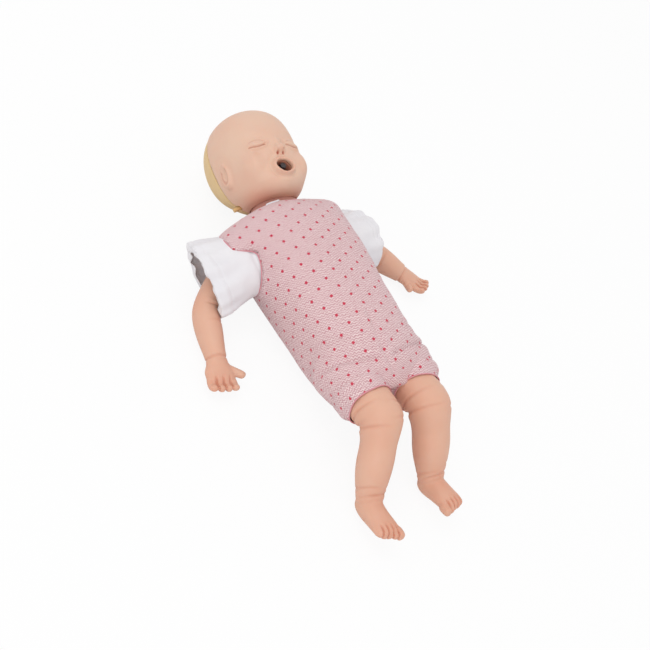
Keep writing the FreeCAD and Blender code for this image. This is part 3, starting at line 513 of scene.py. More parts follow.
def build_mottle():
    """Slow colour change and fine pores, shared by vinyl and plastics."""
    tree, w, given, out = group(
        "Mottle and pores",
        [
            ("Vector", "NodeSocketVector", None),
            ("Colour", "NodeSocketColor", (0.8, 0.8, 0.8, 1)),
            ("Flush", "NodeSocketColor", (0.8, 0.5, 0.4, 1)),
            ("Amount", "NodeSocketFloat", 0.25),
            ("Patch scale", "NodeSocketFloat", 22.0),
            ("Pore scale", "NodeSocketFloat", 1400.0),
        ],
        [("Color", "NodeSocketColor"), ("Height", "NodeSocketFloat"), ("Roughness", "NodeSocketFloat")],
    )
    patches = w.node("ShaderNodeTexNoise")
    w.join(given.outputs["Vector"], patches.inputs["Vector"])
    w.join(given.outputs["Patch scale"], patches.inputs["Scale"])
    patches.inputs["Detail"].default_value = 3.0
    pores = w.node("ShaderNodeTexNoise")
    w.join(given.outputs["Vector"], pores.inputs["Vector"])
    w.join(given.outputs["Pore scale"], pores.inputs["Scale"])
    pores.inputs["Detail"].default_value = 1.0
    spread = w.ramp(patches.outputs[0], [(0.35, 0.0), (0.7, 1.0)])
    share = w.math("MULTIPLY", spread, given.outputs["Amount"])
    w.join(w.mix(share, given.outputs["Colour"], given.outputs["Flush"]), out.inputs["Color"])
    w.join(pores.outputs[0], out.inputs["Height"])
    rough = w.math("MULTIPLY_ADD", pores.outputs[0], 0.16, 0.42)
    w.join(rough, out.inputs["Roughness"])
    return tree


def build_weave():
    """Fine crossing threads of plain cotton, in metres of cloth."""
    tree, w, given, out = group(
        "Cotton threads",
        [("Vector", "NodeSocketVector", None), ("Pitch", "NodeSocketFloat", 0.0011)],
        [("Height", "NodeSocketFloat")],
    )
    parts = w.node("ShaderNodeSeparateXYZ")
    w.join(given.outputs["Vector"], parts.inputs[0])
    waves = []
    for axis in (0, 1):
        turns = w.math("DIVIDE", parts.outputs[axis], given.outputs["Pitch"])
        waves.append(w.math("SINE", w.math("MULTIPLY", turns, 2 * math.pi)))
    woven = w.math("MULTIPLY", waves[0], waves[1])
    w.join(w.math("MULTIPLY_ADD", woven, 0.5, 0.5), out.inputs["Height"])
    return tree


def build_print():
    """Zigzag texture and staggered small dots of the romper cloth."""
    tree, w, given, out = group(
        "Zigzag and dots",
        [
            ("Vector", "NodeSocketVector", None),
            ("Row pitch", "NodeSocketFloat", 0.0030),
            ("Zigzag width", "NodeSocketFloat", 0.0046),
            ("Dot pitch", "NodeSocketFloat", 0.0236),
            ("Dot radius", "NodeSocketFloat", 0.0023),
        ],
        [("Zigzag", "NodeSocketFloat"), ("Dots", "NodeSocketFloat")],
    )
    vector = given.outputs["Vector"]
    parts = w.node("ShaderNodeSeparateXYZ")
    w.join(vector, parts.inputs[0])
    wobble = w.noise(vector, 260.0, 1.0)
    u, v = parts.outputs[0], parts.outputs[1]
    saw = w.math("PINGPONG", w.math("DIVIDE", u, given.outputs["Zigzag width"]), 0.5)
    turns = w.math("ADD", w.math("DIVIDE", v, given.outputs["Row pitch"]), w.math("MULTIPLY", saw, 1.5))
    turns = w.math("ADD", turns, w.math("MULTIPLY", wobble, 1.1))
    lines = w.math("SINE", w.math("MULTIPLY", turns, 2 * math.pi))
    w.join(w.math("MULTIPLY_ADD", lines, 0.5, 0.5), out.inputs["Zigzag"])
    masks = []
    for shift in (0.0, 0.5):
        offsets = []
        for axis in (u, v):
            cell = w.math("DIVIDE", axis, given.outputs["Dot pitch"])
            inside = w.math("SUBTRACT", w.math("FRACT", w.math("ADD", cell, shift)), 0.5)
            far = w.math("ABSOLUTE", w.math("MULTIPLY", inside, given.outputs["Dot pitch"]))
            offsets.append(far)
        diamond = w.math("ADD", *offsets)
        squares = [w.math("POWER", offset, 2.0) for offset in offsets]
        far = w.math("SQRT", w.math("ADD", *squares))
        far = w.math("MULTIPLY_ADD", diamond, 0.35, w.math("MULTIPLY", far, 0.65))
        edge = w.math("SUBTRACT", given.outputs["Dot radius"], far)
        masks.append(w.math("MULTIPLY", edge, 1500.0))
    both = w.math("MAXIMUM", masks[0], masks[1])
    w.join(w.math("MINIMUM", w.math("MAXIMUM", both, 0.0), 1.0), out.inputs["Dots"])
    return tree


MOTTLE = build_mottle()
WEAVE = build_weave()
PRINT = build_print()


def new_material(name):
    material = bpy.data.materials.new(name)
    material.use_nodes = True
    tree = material.node_tree
    shader = tree.nodes["Principled BSDF"]
    return material, Wiring(tree), shader


def place_group(w, tree, **values):
    made = w.node("ShaderNodeGroup", node_tree=tree)
    for label, value in values.items():
        w.give(made.inputs[label.replace("_", " ")], value)
    return made


def bump(w, height, strength, distance, shader):
    made = w.node("ShaderNodeBump")
    made.inputs["Strength"].default_value = strength
    made.inputs["Distance"].default_value = distance
    w.join(height, made.inputs["Height"])
    w.join(made.outputs[0], shader.inputs["Normal"])


def vinyl(name, colour, flush, crease_shade_colour, amount, coat=0.06):
    """Soft matte skin vinyl; the piece's point layers make it redder, partly as real blush and partly as
    painted shade, and darker in creases and hollows as painted shade.
    """
    material, w, shader = new_material(name)
    spot = w.node("ShaderNodeTexCoord").outputs["Object"]
    skin = place_group(w, MOTTLE, Vector=spot, Colour=colour, Flush=flush, Amount=amount)
    blush_and_shade = w.node("ShaderNodeAttribute", attribute_name="blush_and_shade").outputs["Fac"]
    crease_shade = w.node("ShaderNodeAttribute", attribute_name="crease_shade").outputs["Fac"]
    tint = w.mix(blush_and_shade, skin.outputs["Color"], flush)
    # Painted shade: creases and hollows darken towards the third colour.
    tint = w.mix(crease_shade, tint, crease_shade_colour)
    w.join(tint, shader.inputs["Base Color"])
    w.join(skin.outputs["Roughness"], shader.inputs["Roughness"])
    shader.inputs["Specular IOR Level"].default_value = 0.35
    shader.inputs["Coat Weight"].default_value = coat
    shader.inputs["Coat Roughness"].default_value = 0.5
    shader.inputs["Subsurface Weight"].default_value = 0.12
    shader.inputs["Subsurface Radius"].default_value = (0.004, 0.0018, 0.001)
    shader.inputs["Subsurface Scale"].default_value = 0.6
    bump(w, skin.outputs["Height"], 0.12, 0.0004, shader)
    return material


def plastic(name, colour, second, roughness_bump=0.15, amount=0.3):
    material, w, shader = new_material(name)
    spot = w.node("ShaderNodeTexCoord").outputs["Object"]
    looks = {"Colour": colour, "Flush": second, "Amount": amount, "Pore_scale": 900.0}
    made = place_group(w, MOTTLE, Vector=spot, **looks)
    w.join(made.outputs["Color"], shader.inputs["Base Color"])
    w.join(made.outputs["Roughness"], shader.inputs["Roughness"])
    bump(w, made.outputs["Height"], roughness_bump, 0.0003, shader)
    return material


def metal(name, colour):
    material, w, shader = new_material(name)
    spot = w.node("ShaderNodeTexCoord").outputs["Object"]
    grain = w.noise(spot, 700.0, 3.0)
    w.join(w.ramp(grain, [(0.2, 0.28), (0.8, 0.44)]), shader.inputs["Roughness"])
    shader.inputs["Metallic"].default_value = 1.0
    w.join(w.mix(grain, colour, tuple(c * 0.85 for c in colour[:3]) + (1,)), shader.inputs["Base Color"])
    return material


def white_cotton(name):
    material, w, shader = new_material(name)
    cloth = w.node("ShaderNodeUVMap", uv_map="Cloth").outputs[0]
    weave = place_group(w, WEAVE, Vector=cloth, Pitch=0.0009)
    soft = w.noise(cloth, 18.0, 3.0)
    tint = w.mix(w.ramp(soft, [(0.3, 0.0), (0.75, 1.0)]), linear(233, 231, 233), linear(224, 222, 227))
    w.join(tint, shader.inputs["Base Color"])
    shader.inputs["Roughness"].default_value = 0.85
    shader.inputs["Sheen Weight"].default_value = 0.2
    shader.inputs["Specular IOR Level"].default_value = 0.2
    bump(w, weave.outputs["Height"], 0.2, 0.0002, shader)
    return material


def dotted_cotton(name):
    material, w, shader = new_material(name)
    cloth = w.node("ShaderNodeUVMap", uv_map="Cloth").outputs[0]
    turn = w.node("ShaderNodeMapping")
    turn.inputs["Rotation"].default_value = (0, 0, math.radians(-14))
    w.join(cloth, turn.inputs["Vector"])
    pattern = place_group(w, PRINT, Vector=turn.outputs[0])
    weave = place_group(w, WEAVE, Vector=cloth, Pitch=0.0010)
    soft = w.noise(cloth, 24.0, 3.0)
    light, dark = linear(239, 218, 217), linear(196, 144, 151)
    tint = w.mix(w.ramp(pattern.outputs["Zigzag"], [(0.25, 0.0), (0.8, 1.0)]), dark, light)
    tint = w.mix(w.math("MULTIPLY", soft, 0.25), tint, linear(222, 189, 193))
    tint = w.mix(pattern.outputs["Dots"], tint, linear(203, 62, 84))
    w.join(tint, shader.inputs["Base Color"])
    shader.inputs["Roughness"].default_value = 0.88
    shader.inputs["Sheen Weight"].default_value = 0.25
    shader.inputs["Specular IOR Level"].default_value = 0.2
    height = w.math("ADD", pattern.outputs["Zigzag"], w.math("MULTIPLY", weave.outputs["Height"], 0.6))
    bump(w, height, 0.5, 0.0006, shader)
    return material


def hem_thread(name, colour, second):
    material, w, shader = new_material(name)
    spot = w.node("ShaderNodeTexCoord").outputs["Object"]
    twist = w.noise(spot, 900.0, 2.0)
    w.join(w.mix(twist, colour, second), shader.inputs["Base Color"])
    shader.inputs["Roughness"].default_value = 0.85
    bump(w, twist, 0.3, 0.0004, shader)
    return material


# Each vinyl's third colour is the painted shade of its creases and hollows.
HEAD_SKIN = vinyl("head vinyl", linear(221, 186, 164), linear(222, 160, 136), linear(176, 96, 74), 0.22)
LIMB_SKIN = vinyl("limb vinyl", linear(221, 175, 151), linear(214, 148, 122), linear(190, 104, 78), 0.30)
# The neck vinyl is darker than the face's as painted shade, the neck lying in shade under the chin.
NECK_SKIN_IN_SHADE = vinyl("neck vinyl", linear(206, 152, 136), linear(190, 122, 108), linear(150, 76, 66), 0.35)
MOUTH_REDS = (linear(206, 146, 122), linear(184, 112, 92), linear(140, 72, 58))
MOUTH_SKIN = vinyl("mouth vinyl", *MOUTH_REDS, 0.4, 0.2)
SKULL_TAN = plastic("skull plastic", linear(222, 192, 143), linear(212, 178, 124))
PEG_YELLOW = plastic("peg plastic", linear(226, 188, 130), linear(214, 170, 112))
OBJECT_DARK = plastic("dark plug plastic", linear(62, 58, 60), linear(40, 38, 40), 0.3)
SHELL_WHITE = plastic("shell plastic", linear(232, 228, 218), linear(222, 217, 205))
RUBBER = plastic("bellows rubber", linear(232, 228, 214), linear(214, 208, 190))
STEEL = metal("plated steel", linear(190, 192, 196))
ROMPER_CLOTH = dotted_cotton("dotted cotton")
SHIRT_CLOTH = white_cotton("white cotton")
ROMPER_HEM = hem_thread("rose hem", linear(206, 120, 132), linear(224, 168, 174))
SHIRT_HEM = hem_thread("white hem", linear(236, 234, 236), linear(222, 220, 224))


def dress(piece, material):
    piece.data.materials.clear()
    piece.data.materials.append(material)


# Head

HEAD_TURN = np.array(Matrix.Rotation(math.radians(7), 3, "X") @ Matrix.Rotation(math.radians(-6), 3, "Z"))
HEAD_PLACE = np.array([-1.2, 202.5, 75.9])


def to_head(spots):
    """World metres to the head's own millimetres."""
    return (spots / MM - HEAD_PLACE) @ HEAD_TURN


def from_head(spots):
    return (spots @ HEAD_TURN.T + HEAD_PLACE) * MM


def arc(start, end, sag, steps=8):
    """Line between two points of the face that sags towards the chin in its middle."""
    share = np.linspace(0, 1, steps)[:, None]
    line = np.array(start) + (np.array(end) - np.array(start)) * share
    line[:, 1] -= sag * np.sin(math.pi * share[:, 0])
    return line


def shape_face(piece):
    mesh = piece.data
    p = to_head(places(mesh))
    face = p[:, 2] > 5
    mouth = np.hypot(p[:, 0] / 12.5, (p[:, 1] + 40) / 10)
    keep = 1 - 0.86 * near(p, (0, -17, 62), (8, 6, 20)) - bell(mouth - 1.0, 0.45) * (p[:, 2] > 20)
    ears = 1 - smooth_step(np.hypot((p[:, 1] + 19) / 17.5, (p[:, 2] - 4) / 10.0), 1.0, 1.9)
    ears = 1 - 0.95 * ears * smooth_step(np.abs(p[:, 0]), 40, 46)
    weight = np.clip(keep, 0.0, 1) * ears * (0.2 + 0.8 * smooth_step(p[:, 2], -19, -12))
    offset = from_head(p) / MM - NECK_PIVOT
    height = offset @ NECK_LEAN
    reach = np.linalg.norm(offset - np.outer(height, NECK_LEAN), axis=1)
    weight = weight * np.maximum(smooth_step(reach, 31, 41), smooth_step(height, 6, 16))
    relax(mesh, 0.5 * weight, 60)
    calm = smooth_step(np.hypot(p[:, 0] / 1.1, p[:, 1] + 24), 24, 34) * weight
    relax(mesh, 0.5 * calm, 160)
    p = to_head(places(mesh) + outward(mesh) * (1.1 * MM * calm)[:, None])
    front = face & (p[:, 2] > 18)
    for side in (-1, 1):
        raise_by = [
            ((side * 31, -30, 40), (17, 16, 20), 1.6),
            ((side * 25, -7, 52), (12, 7.5, 16), 2.2),
            ((side * 23, 5, 53), (13, 4.5, 16), -1.6),
            ((side * 12.5, -6, 54), (5, 6, 16), -2.2),
            ((side * 25, 12, 53), (16, 6, 16), 0.9),
            ((side * 24, -16, 51), (12, 4, 16), -0.9),
            ((side * 5.8, -18.5, 60), (3.0, 3.4, 8), 1.9),
            ((side * 9.5, -20, 57), (2.4, 4.5, 8), -1.0),
            ((side * 14, -27, 55), (4.0, 7.0, 10), -0.8),
        ]
        for centre, reach, amount in raise_by:
            p[:, 2] += amount * near(p, centre, reach) * front
    for centre, reach, amount in (
        ((0, -16.5, 63), (4.6, 4.2, 8), 2.2),
        ((0, -4, 58), (5, 9, 12), 1.2),
        ((0, -27.5, 56), (1.6, 3.5, 10), -0.8),
        ((0, -57, 48), (10, 6, 14), 1.6),
        ((0, -50.5, 54), (13, 2.6, 12), -1.5),
    ):
        p[:, 2] += amount * near(p, centre, reach) * front
    angle = np.arctan2(p[:, 1] + 40, p[:, 0])
    rim = bell(mouth - 1.06, 0.15) * front
    lower = np.maximum(-np.sin(angle), 0)
    bow = bell(p[:, 0], 2.2) * (p[:, 1] > -40)
    p[:, 2] += rim * (1.3 + 0.5 * lower - 0.7 * bow)
    p[:, 2] -= 0.9 * bell(mouth - 1.42, 0.16) * front
    flat = p[:, :2]
    # Painted shade: darker colour in the eye slits, along the lids, in the nostrils, in the ear grooves
    # and inside the mouth, where shade falls.
    crease_shade = np.zeros(len(p))
    for side in (-1, 1):
        slit = path_distance(flat, arc((side * 15.5, -7.4), (side * 34.5, -8.6), 1.6))
        inner = path_distance(flat, arc((side * 9.5, -3.6), (side * 16, -7.4), -0.2, 4))
        lid = path_distance(flat, arc((side * 17, -2.2), (side * 33, -1.6), -2.2))
        under = path_distance(flat, arc((side * 15, -12.6), (side * 31, -13.8), 1.6))
        cheek_fold = path_distance(flat, arc((side * 8.5, -22), (side * 19, -33), -0.6))
        for distance, width, depth in (
            (slit, 0.95, 1.7),
            (inner, 1.2, 0.9),
            (lid, 1.1, 0.7),
            (under, 1.4, 0.45),
            (cheek_fold, 2.6, 0.7),
        ):
            p[:, 2] -= depth * bell(distance, width) * front
        p[:, 2] += 0.6 * bell(slit - 2.3, 1.3) * front
        # painted shade in the eye slit and along the lid
        crease_shade = np.maximum(crease_shade, 0.62 * bell(slit, 0.75) * front)
        crease_shade = np.maximum(crease_shade, 0.22 * bell(lid, 0.8) * front)
        hole = np.hypot((p[:, 0] - side * 3.8) / 1.6, (p[:, 1] + 22.2) / 1.9)
        nostril = np.exp(-(hole**4)) * front
        p[:, 2] -= 1.8 * nostril
        # painted shade inside the nostril
        crease_shade = np.maximum(crease_shade, 1.1 * nostril)
    # ears: a C-shaped hollow inside the rim, and a small lobe
    ear_angle = np.arctan2(p[:, 2] - 4, p[:, 1] + 19)
    ear_size = np.hypot((p[:, 1] + 19) / 16.5, (p[:, 2] - 4) / 9.0)
    at_ear = smooth_step(np.abs(p[:, 0]), 44, 49) * (1 - smooth_step(ear_size, 1.5, 2.2))
    groove = bell(ear_size - 0.62, 0.12) * (np.abs(ear_angle) > 0.5) * at_ear
    hollow = bell(ear_size - 0.15, 0.3) * at_ear
    rim = bell(ear_size - 0.88, 0.13) * at_ear
    p[:, 0] += np.sign(p[:, 0]) * (1.5 * rim - 1.5 * groove - 0.8 * hollow)
    # painted shade in the ear's groove
    crease_shade = np.maximum(crease_shade, 0.4 * groove)
    # faint wrinkles of the vinyl at the temples
    for side in (-1, 1):
        at_side = (np.sign(p[:, 0]) == side) & (np.abs(p[:, 0]) > 38)
        for shift in (0.0, 4.0, 8.0):
            line = arc((6 - 0.3 * shift, 9 + shift), (31 - 0.3 * shift, 20 + shift), -2.5)
            distance = path_distance(p[:, 1:], line)
            p[:, 0] -= side * 0.3 * bell(distance, 0.9) * at_side
    set_places(mesh, from_head(p))
    relax(mesh, 0.25, 1)
    p = to_head(places(mesh))
    blush_and_shade = 0.32 * near(p, (0, -20, 62), (9, 7, 10))
    for side in (-1, 1):
        blush_and_shade = np.maximum(blush_and_shade, 0.22 * near(p, (side * 33, -30, 40), (18, 16, 25)))
    blush_and_shade = np.maximum(blush_and_shade, 0.12 * at_ear)
    blush_and_shade = np.maximum(blush_and_shade, 0.4 * bell(mouth - 1.0, 0.18) * front)
    # Painted shade under the chin and jaw: the underside is coloured redder, and darker lowest down.
    under = smooth_step(-p[:, 1], 46, 64) * (1 - smooth_step(p[:, 2], 18, 50))
    blush_and_shade = np.maximum(blush_and_shade, 0.5 * under)
    inside = (mouth < 0.98) & (p[:, 2] < 54) & (p[:, 2] > 30)
    # painted shade inside the mouth
    crease_shade = np.maximum(crease_shade, 0.25 * inside)
    crease_shade = np.maximum(crease_shade, 0.35 * under * smooth_step(-p[:, 1], 56, 68))
    store_tint_and_shade(piece, "blush_and_shade", blush_and_shade)
    store_tint_and_shade(piece, "crease_shade", crease_shade)


def finer_where(piece, chosen):
    """Cuts the faces of the chosen points in four."""
    work = bmesh.new()
    work.from_mesh(piece.data)
    work.verts.ensure_lookup_table()
    edges = [e for e in work.edges if chosen[e.verts[0].index] and chosen[e.verts[1].index]]
    bmesh.ops.subdivide_edges(work, edges=edges, cuts=1, use_grid_fill=True)
    work.to_mesh(piece.data)
    work.free()


face = merged_copy("face_mask", "face_skin")
even_faces(face, 1.25 * MM)
spot = to_head(places(face.data))
fine = (np.abs(spot[:, 0]) < 38) & (spot[:, 1] < 4) & (spot[:, 1] > -54) & (spot[:, 2] > 36)
finer_where(face, fine)
shape_face(face)
smooth_shading(face)
dress(face, HEAD_SKIN)
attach(face, "head")
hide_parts("face_skin")

skull = merged_copy("skull_rear", "skull_back")
even_faces(skull, 1.6 * MM)
relax(skull.data, 0.5, 6)
smooth_shading(skull)
dress(skull, SKULL_TAN)
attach(skull, "head")
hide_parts("skull_back")

cup = merged_copy("mouth_cup", "mouth_liner")
even_faces(cup, 0.7 * MM)
relax(cup.data, 0.5, 3)
spot = to_head(places(cup.data))
# Painted shade inside the mouth cup: over an even real red tint, it grows redder and darker deeper in.
store_tint_and_shade(cup, "blush_and_shade", 0.3 + 0.5 * np.clip((46 - spot[:, 2]) / 14, 0, 1))
store_tint_and_shade(cup, "crease_shade", np.clip((42 - spot[:, 2]) / 12, 0, 0.8))
smooth_shading(cup)
dress(cup, MOUTH_SKIN)
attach(cup, "head")
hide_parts("mouth_liner")


def softened(name, node, material, body, width):
    """A hard CAD piece with its edges rounded."""
    piece = merged_copy(name, node)
    work = bmesh.new()
    work.from_mesh(piece.data)
    bmesh.ops.dissolve_limit(work, angle_limit=math.radians(4), verts=work.verts, edges=work.edges)
    sharp = [e for e in work.edges if e.is_manifold and e.calc_face_angle() > math.radians(28)]
    bmesh.ops.bevel(work, geom=sharp, offset=width, segments=2, profile=0.5, affect="EDGES", material=-1)
    bmesh.ops.triangulate(work, faces=[f for f in work.faces if len(f.verts) > 4])
    work.to_mesh(piece.data)
    work.free()
    dress(piece, material)
    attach(piece, body)
    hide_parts(node)
    return piece


plug = softened("choking_plug", "choking_object", OBJECT_DARK, "head", 0.35 * MM)
set_places(plug.data, places(plug.data) + np.array([3.0, 1.0, 6.0]) * MM)
for name in ("right", "left"):
    softened("peg_" + name, "mask_peg_" + name, PEG_YELLOW, "head", 0.4 * MM)

# Neck: two folds where the soft vinyl gives under the chin

neck = merged_copy("neck_folds", "neck_skin")
even_faces(neck, 1.2 * MM)
relax(neck.data, 0.5, 6)
spot = places(neck.data) / MM
height = (spot - NECK_PIVOT) @ NECK_LEAN
side_way = spot - NECK_PIVOT - np.outer(height, NECK_LEAN)
side_way /= np.maximum(np.linalg.norm(side_way, axis=1, keepdims=True), 1e-6)
wave = 0.8 * side_way[:, 0] ** 2
dent = bell(height + 13 + 3 * wave, 1.3) + 0.8 * bell(height + 21 - 2 * wave, 1.2)
set_places(neck.data, (spot - side_way * dent[:, None] * 1.3) * MM)
# Painted shade under the chin: the whole neck is tinted redder, and the folds redder and darker still.
store_tint_and_shade(neck, "blush_and_shade", 0.25 + 0.6 * dent)
store_tint_and_shade(neck, "crease_shade", 0.5 * dent)
smooth_shading(neck)
dress(neck, NECK_SKIN_IN_SHADE)
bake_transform(neck)
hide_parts("neck_skin")

# Limbs


def limb_crease(spots, normals, point, way, width, depth, facing, spread, wavy):
    """Groove round a limb where it folds: returns the dent at each point."""
    way = np.array(way) / np.linalg.norm(way)
    offset = spots - np.array(point)
    height = offset @ way
    reach = np.linalg.norm(offset - np.outer(height, way), axis=1)
    if wavy:
        height = height + wavy * np.sin(offset[:, 0] * 0.18 + offset[:, 1] * 0.11)
    dent = bell(height, width) * (reach < 44) * (np.abs(height) < 6 * width)
    if facing is not None:
        facing = np.array(facing) / np.linalg.norm(facing)
        dent = dent * np.clip((normals @ facing + spread) / (1 + spread), 0, 1)
    return dent * depth


def part_digits(spots, ball, ahead, across, pitch, gaps):
    """Depth of the gaps between fingers or toes at each point."""
    reach = (spots - ball) @ ahead
    side_way = (spots - ball) @ across
    dent = np.zeros(len(spots))
    for gap in range(gaps):
        dent = np.maximum(dent, bell(side_way - pitch * (gap - (gaps - 1) / 2), 0.95))
    here = (np.abs(side_way) < 20) * (np.linalg.norm(spots - ball, axis=1) < 30)
    return dent * smooth_step(reach, -7, 1) * here


def dress_limb(name, node, body, voxel, creases, flushes, digits, nudges, widen):
    piece = merged_copy(name, node)
    even_faces(piece, voxel)
    relax(piece.data, 0.5, 4)
    finer_where(piece, (places(piece.data) / MM - digits[0]) @ digits[1] > -9)
    spots = places(piece.data) / MM
    normals = outward(piece.data)
    parted = part_digits(spots, *digits)
    dent = 2.0 * parted
    # Painted shade: the creases and the gaps between fingers and toes are coloured darker and redder.
    painted_crease_shade = np.zeros(len(spots))
    swell = np.zeros(len(spots))
    for point, way, width, depth, *rest in creases:
        one = limb_crease(spots, normals, point, way, width, depth, *rest)
        dent += one
        swell += 0.42 * limb_crease(spots, normals, point, way, width * 3.4, depth, *rest)
        painted_crease_shade = np.maximum(painted_crease_shade, one / depth * 0.2)
    painted_crease_shade = np.maximum(painted_crease_shade, 0.35 * parted)
    spots = spots + normals * (0.8 * swell - dent)[:, None]
    if widen:
        ball, ahead, across = digits[:3]
        share = smooth_step((spots - ball) @ ahead, -24, -10)
        spots = spots + (widen * share * ((spots - ball) @ across))[:, None] * across
    for way, start, stop, move in nudges:
        spots = spots + smooth_step(spots @ np.array(way), start, stop)[:, None] * np.array(move)
    set_places(piece.data, spots * MM)
    relax(piece.data, 0.3, 2)
    blush_and_shade = np.zeros(len(spots))
    for centre, reach, amount in flushes:
        blush_and_shade = np.maximum(blush_and_shade, amount * near(spots, centre, reach))
    store_tint_and_shade(piece, "blush_and_shade", blush_and_shade + 0.5 * painted_crease_shade)
    store_tint_and_shade(piece, "crease_shade", painted_crease_shade)
    smooth_shading(piece)
    dress(piece, LIMB_SKIN)
    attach(piece, body)
    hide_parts(node)
    return piece


ARM_POSE = {
    "right": {
        "side": -1,
        "out": 54.0,
        "down": 20.7,
        "fore_out": 12.0,
        "fore_down": 5.0,
        "reach": 1.03,
        "widen": 0.28,
        "nudges": [((-1, 0, 0), 90, 150, (3, -1, 0)), ((0, -1, 0), 0, 45, (0, -4.5, 0))],
    },
    "left": {
        "side": 1,
        "out": 77.0,
        "down": 22.9,
        "fore_out": 37.0,
        "fore_down": 4.0,
        "reach": 0.95,
        "widen": -0.08,
        "nudges": [((1, 0, 0), 80, 200, (-5, 11, 0))],
    },
}
UP = (0, 0, 1)

for name, pose in ARM_POSE.items():
    side = pose["side"]
    upper = direction(side, pose["out"], -pose["down"])
    fore = direction(side, pose["fore_out"], -pose["fore_down"])
    elbow = SHOULDER[side] + upper * 97 * pose["reach"]
    wrist = elbow + fore * 61 * pose["reach"]
    inner = fore - upper
    creases = [
        (elbow - upper * 3, upper + fore, 1.5, 2.0, inner, 0.2, 0.7),
        (elbow - upper * 11, upper * 2 + fore, 1.6, 0.9, inner, 0.1, 0.0),
        (wrist + fore * 1, fore, 1.3, 1.5, None, 1.0, 0.5),
        (elbow + fore * 22, fore, 2.0, 0.6, inner, 0.1, 0.0),
    ]
    knuckles = wrist + fore * 28
    inward = np.cross(fore, UP) / np.linalg.norm(np.cross(fore, UP))
    flushes = [
        (knuckles + fore * 8, (18, 18, 14), 0.5),
        (elbow, (16, 16, 16), 0.4),
        (wrist + fore * 14, (16, 16, 12), 0.25),
    ]
    digits = (knuckles, fore, inward, 6.7, 3)
    dress_limb(
        name + "_arm_vinyl", name + "_arm", "arm_" + name, 0.95 * MM,
        creases, flushes, digits, pose["nudges"], pose["widen"],
    )

for name, side, out, shin_out in (("right", -1, 6, 12), ("left", 1, -4, 3)):
    thigh, shin = direction(side, out, 17), direction(side, shin_out, -42.6)
    knee = HIP[side] + thigh * 88.5
    ankle = knee + shin * 89.5
    foot = direction(side, shin_out, 20)
    back_of_knee = -(thigh - shin)
    creases = [
        (knee - thigh * 15, thigh * 3 + shin, 1.8, 1.8, (side, 0, -0.1), 0.0, 0.0),
        (knee - thigh * 12, thigh * 3 - np.array([0, 0, 0.8]), 1.8, 1.6, (-side, 0, 0), 0.1, 0.0),
        (knee + shin * 8, thigh + shin * 2.4, 1.8, 1.9, (side, 0.2, 0), 0.1, 0.8),
        (knee + shin * 3, thigh + shin * 1.4, 1.8, 1.2, (-side, 0, 0.3), 0.0, 0.8),
        (knee, thigh + shin, 2.4, 3.0, back_of_knee, 0.5, 0.0),
        (ankle - shin * 4, shin * 2 + foot, 1.6, 1.6, (0, -0.4, 1), 0.3, 0.8),
        (ankle - shin * 15, shin * 3 + foot, 1.6, 1.0, (side, 0, 0.1), 0.0, 0.8),
        (ankle - shin * 11, shin * 3 + foot, 1.6, 0.9, (-side, 0, 0.1), 0.0, 0.8),
    ]
    toes = ankle + foot * 44
    flushes = [
        (toes, (20, 18, 16), 0.5),
        (knee, (26, 22, 24), 0.28),
        (ankle + foot * 8, (22, 26, 22), 0.35),
        (ankle - foot * 10, (20, 16, 20), 0.45),
    ]
    across = np.cross(foot, UP) / np.linalg.norm(np.cross(foot, UP))
    sole_up = np.cross(across, foot)
    digits = (ankle + foot * 43 - sole_up * 7 * np.sign(sole_up[2]), foot, across, 5.95, 4)
    if side < 0:
        nudges = [
            ((0, -1, 0), 95, 130, (5, -1, 0)),
            ((0, -1, 0), 175, 240, (-10, 2.4, 0)),
            ((0, -1, 0), 250, 285, (3.5, -1, 0)),
        ]
    else:
        nudges = [
            ((0, -1, 0), 130, 160, (2, 0, 0)),
            ((0, -1, 0), 190, 245, (-6.5, 1.8, 0)),
            ((0, -1, 0), 240, 270, (-1.5, 4, 0)),
        ]
    dress_limb(
        name + "_leg_vinyl", name + "_leg", "leg_" + name, 1.15 * MM,
        creases, flushes, digits, nudges, 0,
    )

# Shirt and romper bodies

ROUND = 200
SEAT_ROWS = 16
COLLAR_START = np.array([-62, 114, 88.0])
COLLAR_END = np.array([-18, 126, 99.0])
ROWS = 132


def trunk_grid(inset, start=0.0, end=0.93):
    rings = trunk_rings(inset)
    at = np.linspace(start, end, ROWS) * (len(rings) - 1)
    angle = -math.pi / 2 + 2 * math.pi * np.arange(ROUND) / ROUND
    points = cloth_surface(rings, at, angle)
    points[:, :, 2] = np.maximum(points[:, :, 2], inset)
    return points


def trouser_grid(side, inset, rows=54, start=0.22):
    """The short trouser leg, from inside the body to its hem."""
    hip = HIP[side]
    thigh = direction(side, THIGH_OUT[side], 17)
    end = hip + thigh * 67
    top = 33 + 4.2 + 1.6 - inset
    line = [
        (hip - thigh * 18, top - 8, top - 6),
        (hip + thigh * 4, top, top),
        (hip + (end - hip) * 0.45, top - 3, top - 3),
        (hip + (end - hip) * 0.8, top - 5, top - 5),
        (end, top - 5, top - 6),
        (end + thigh * 30, top - 6, top - 8),
    ]
    rings = tube_rings(line)
    at = np.linspace(0, len(rings) - 1, 400)
    centres = cloth_surface(rings, at, np.linspace(0, 2 * math.pi, 24, endpoint=False)).mean(axis=1)
    reach = (centres - hip) @ thigh
    stop = np.interp(67.0, reach[20:380], at[20:380])
    angle = -math.pi / 2 + 2 * math.pi * np.arange(128) / 128
    points = cloth_surface(rings, np.linspace(start * stop, stop, rows), angle)
    points[-1] -= ((points[-1] - end) @ thigh)[:, None] * thigh
    return points, thigh, end


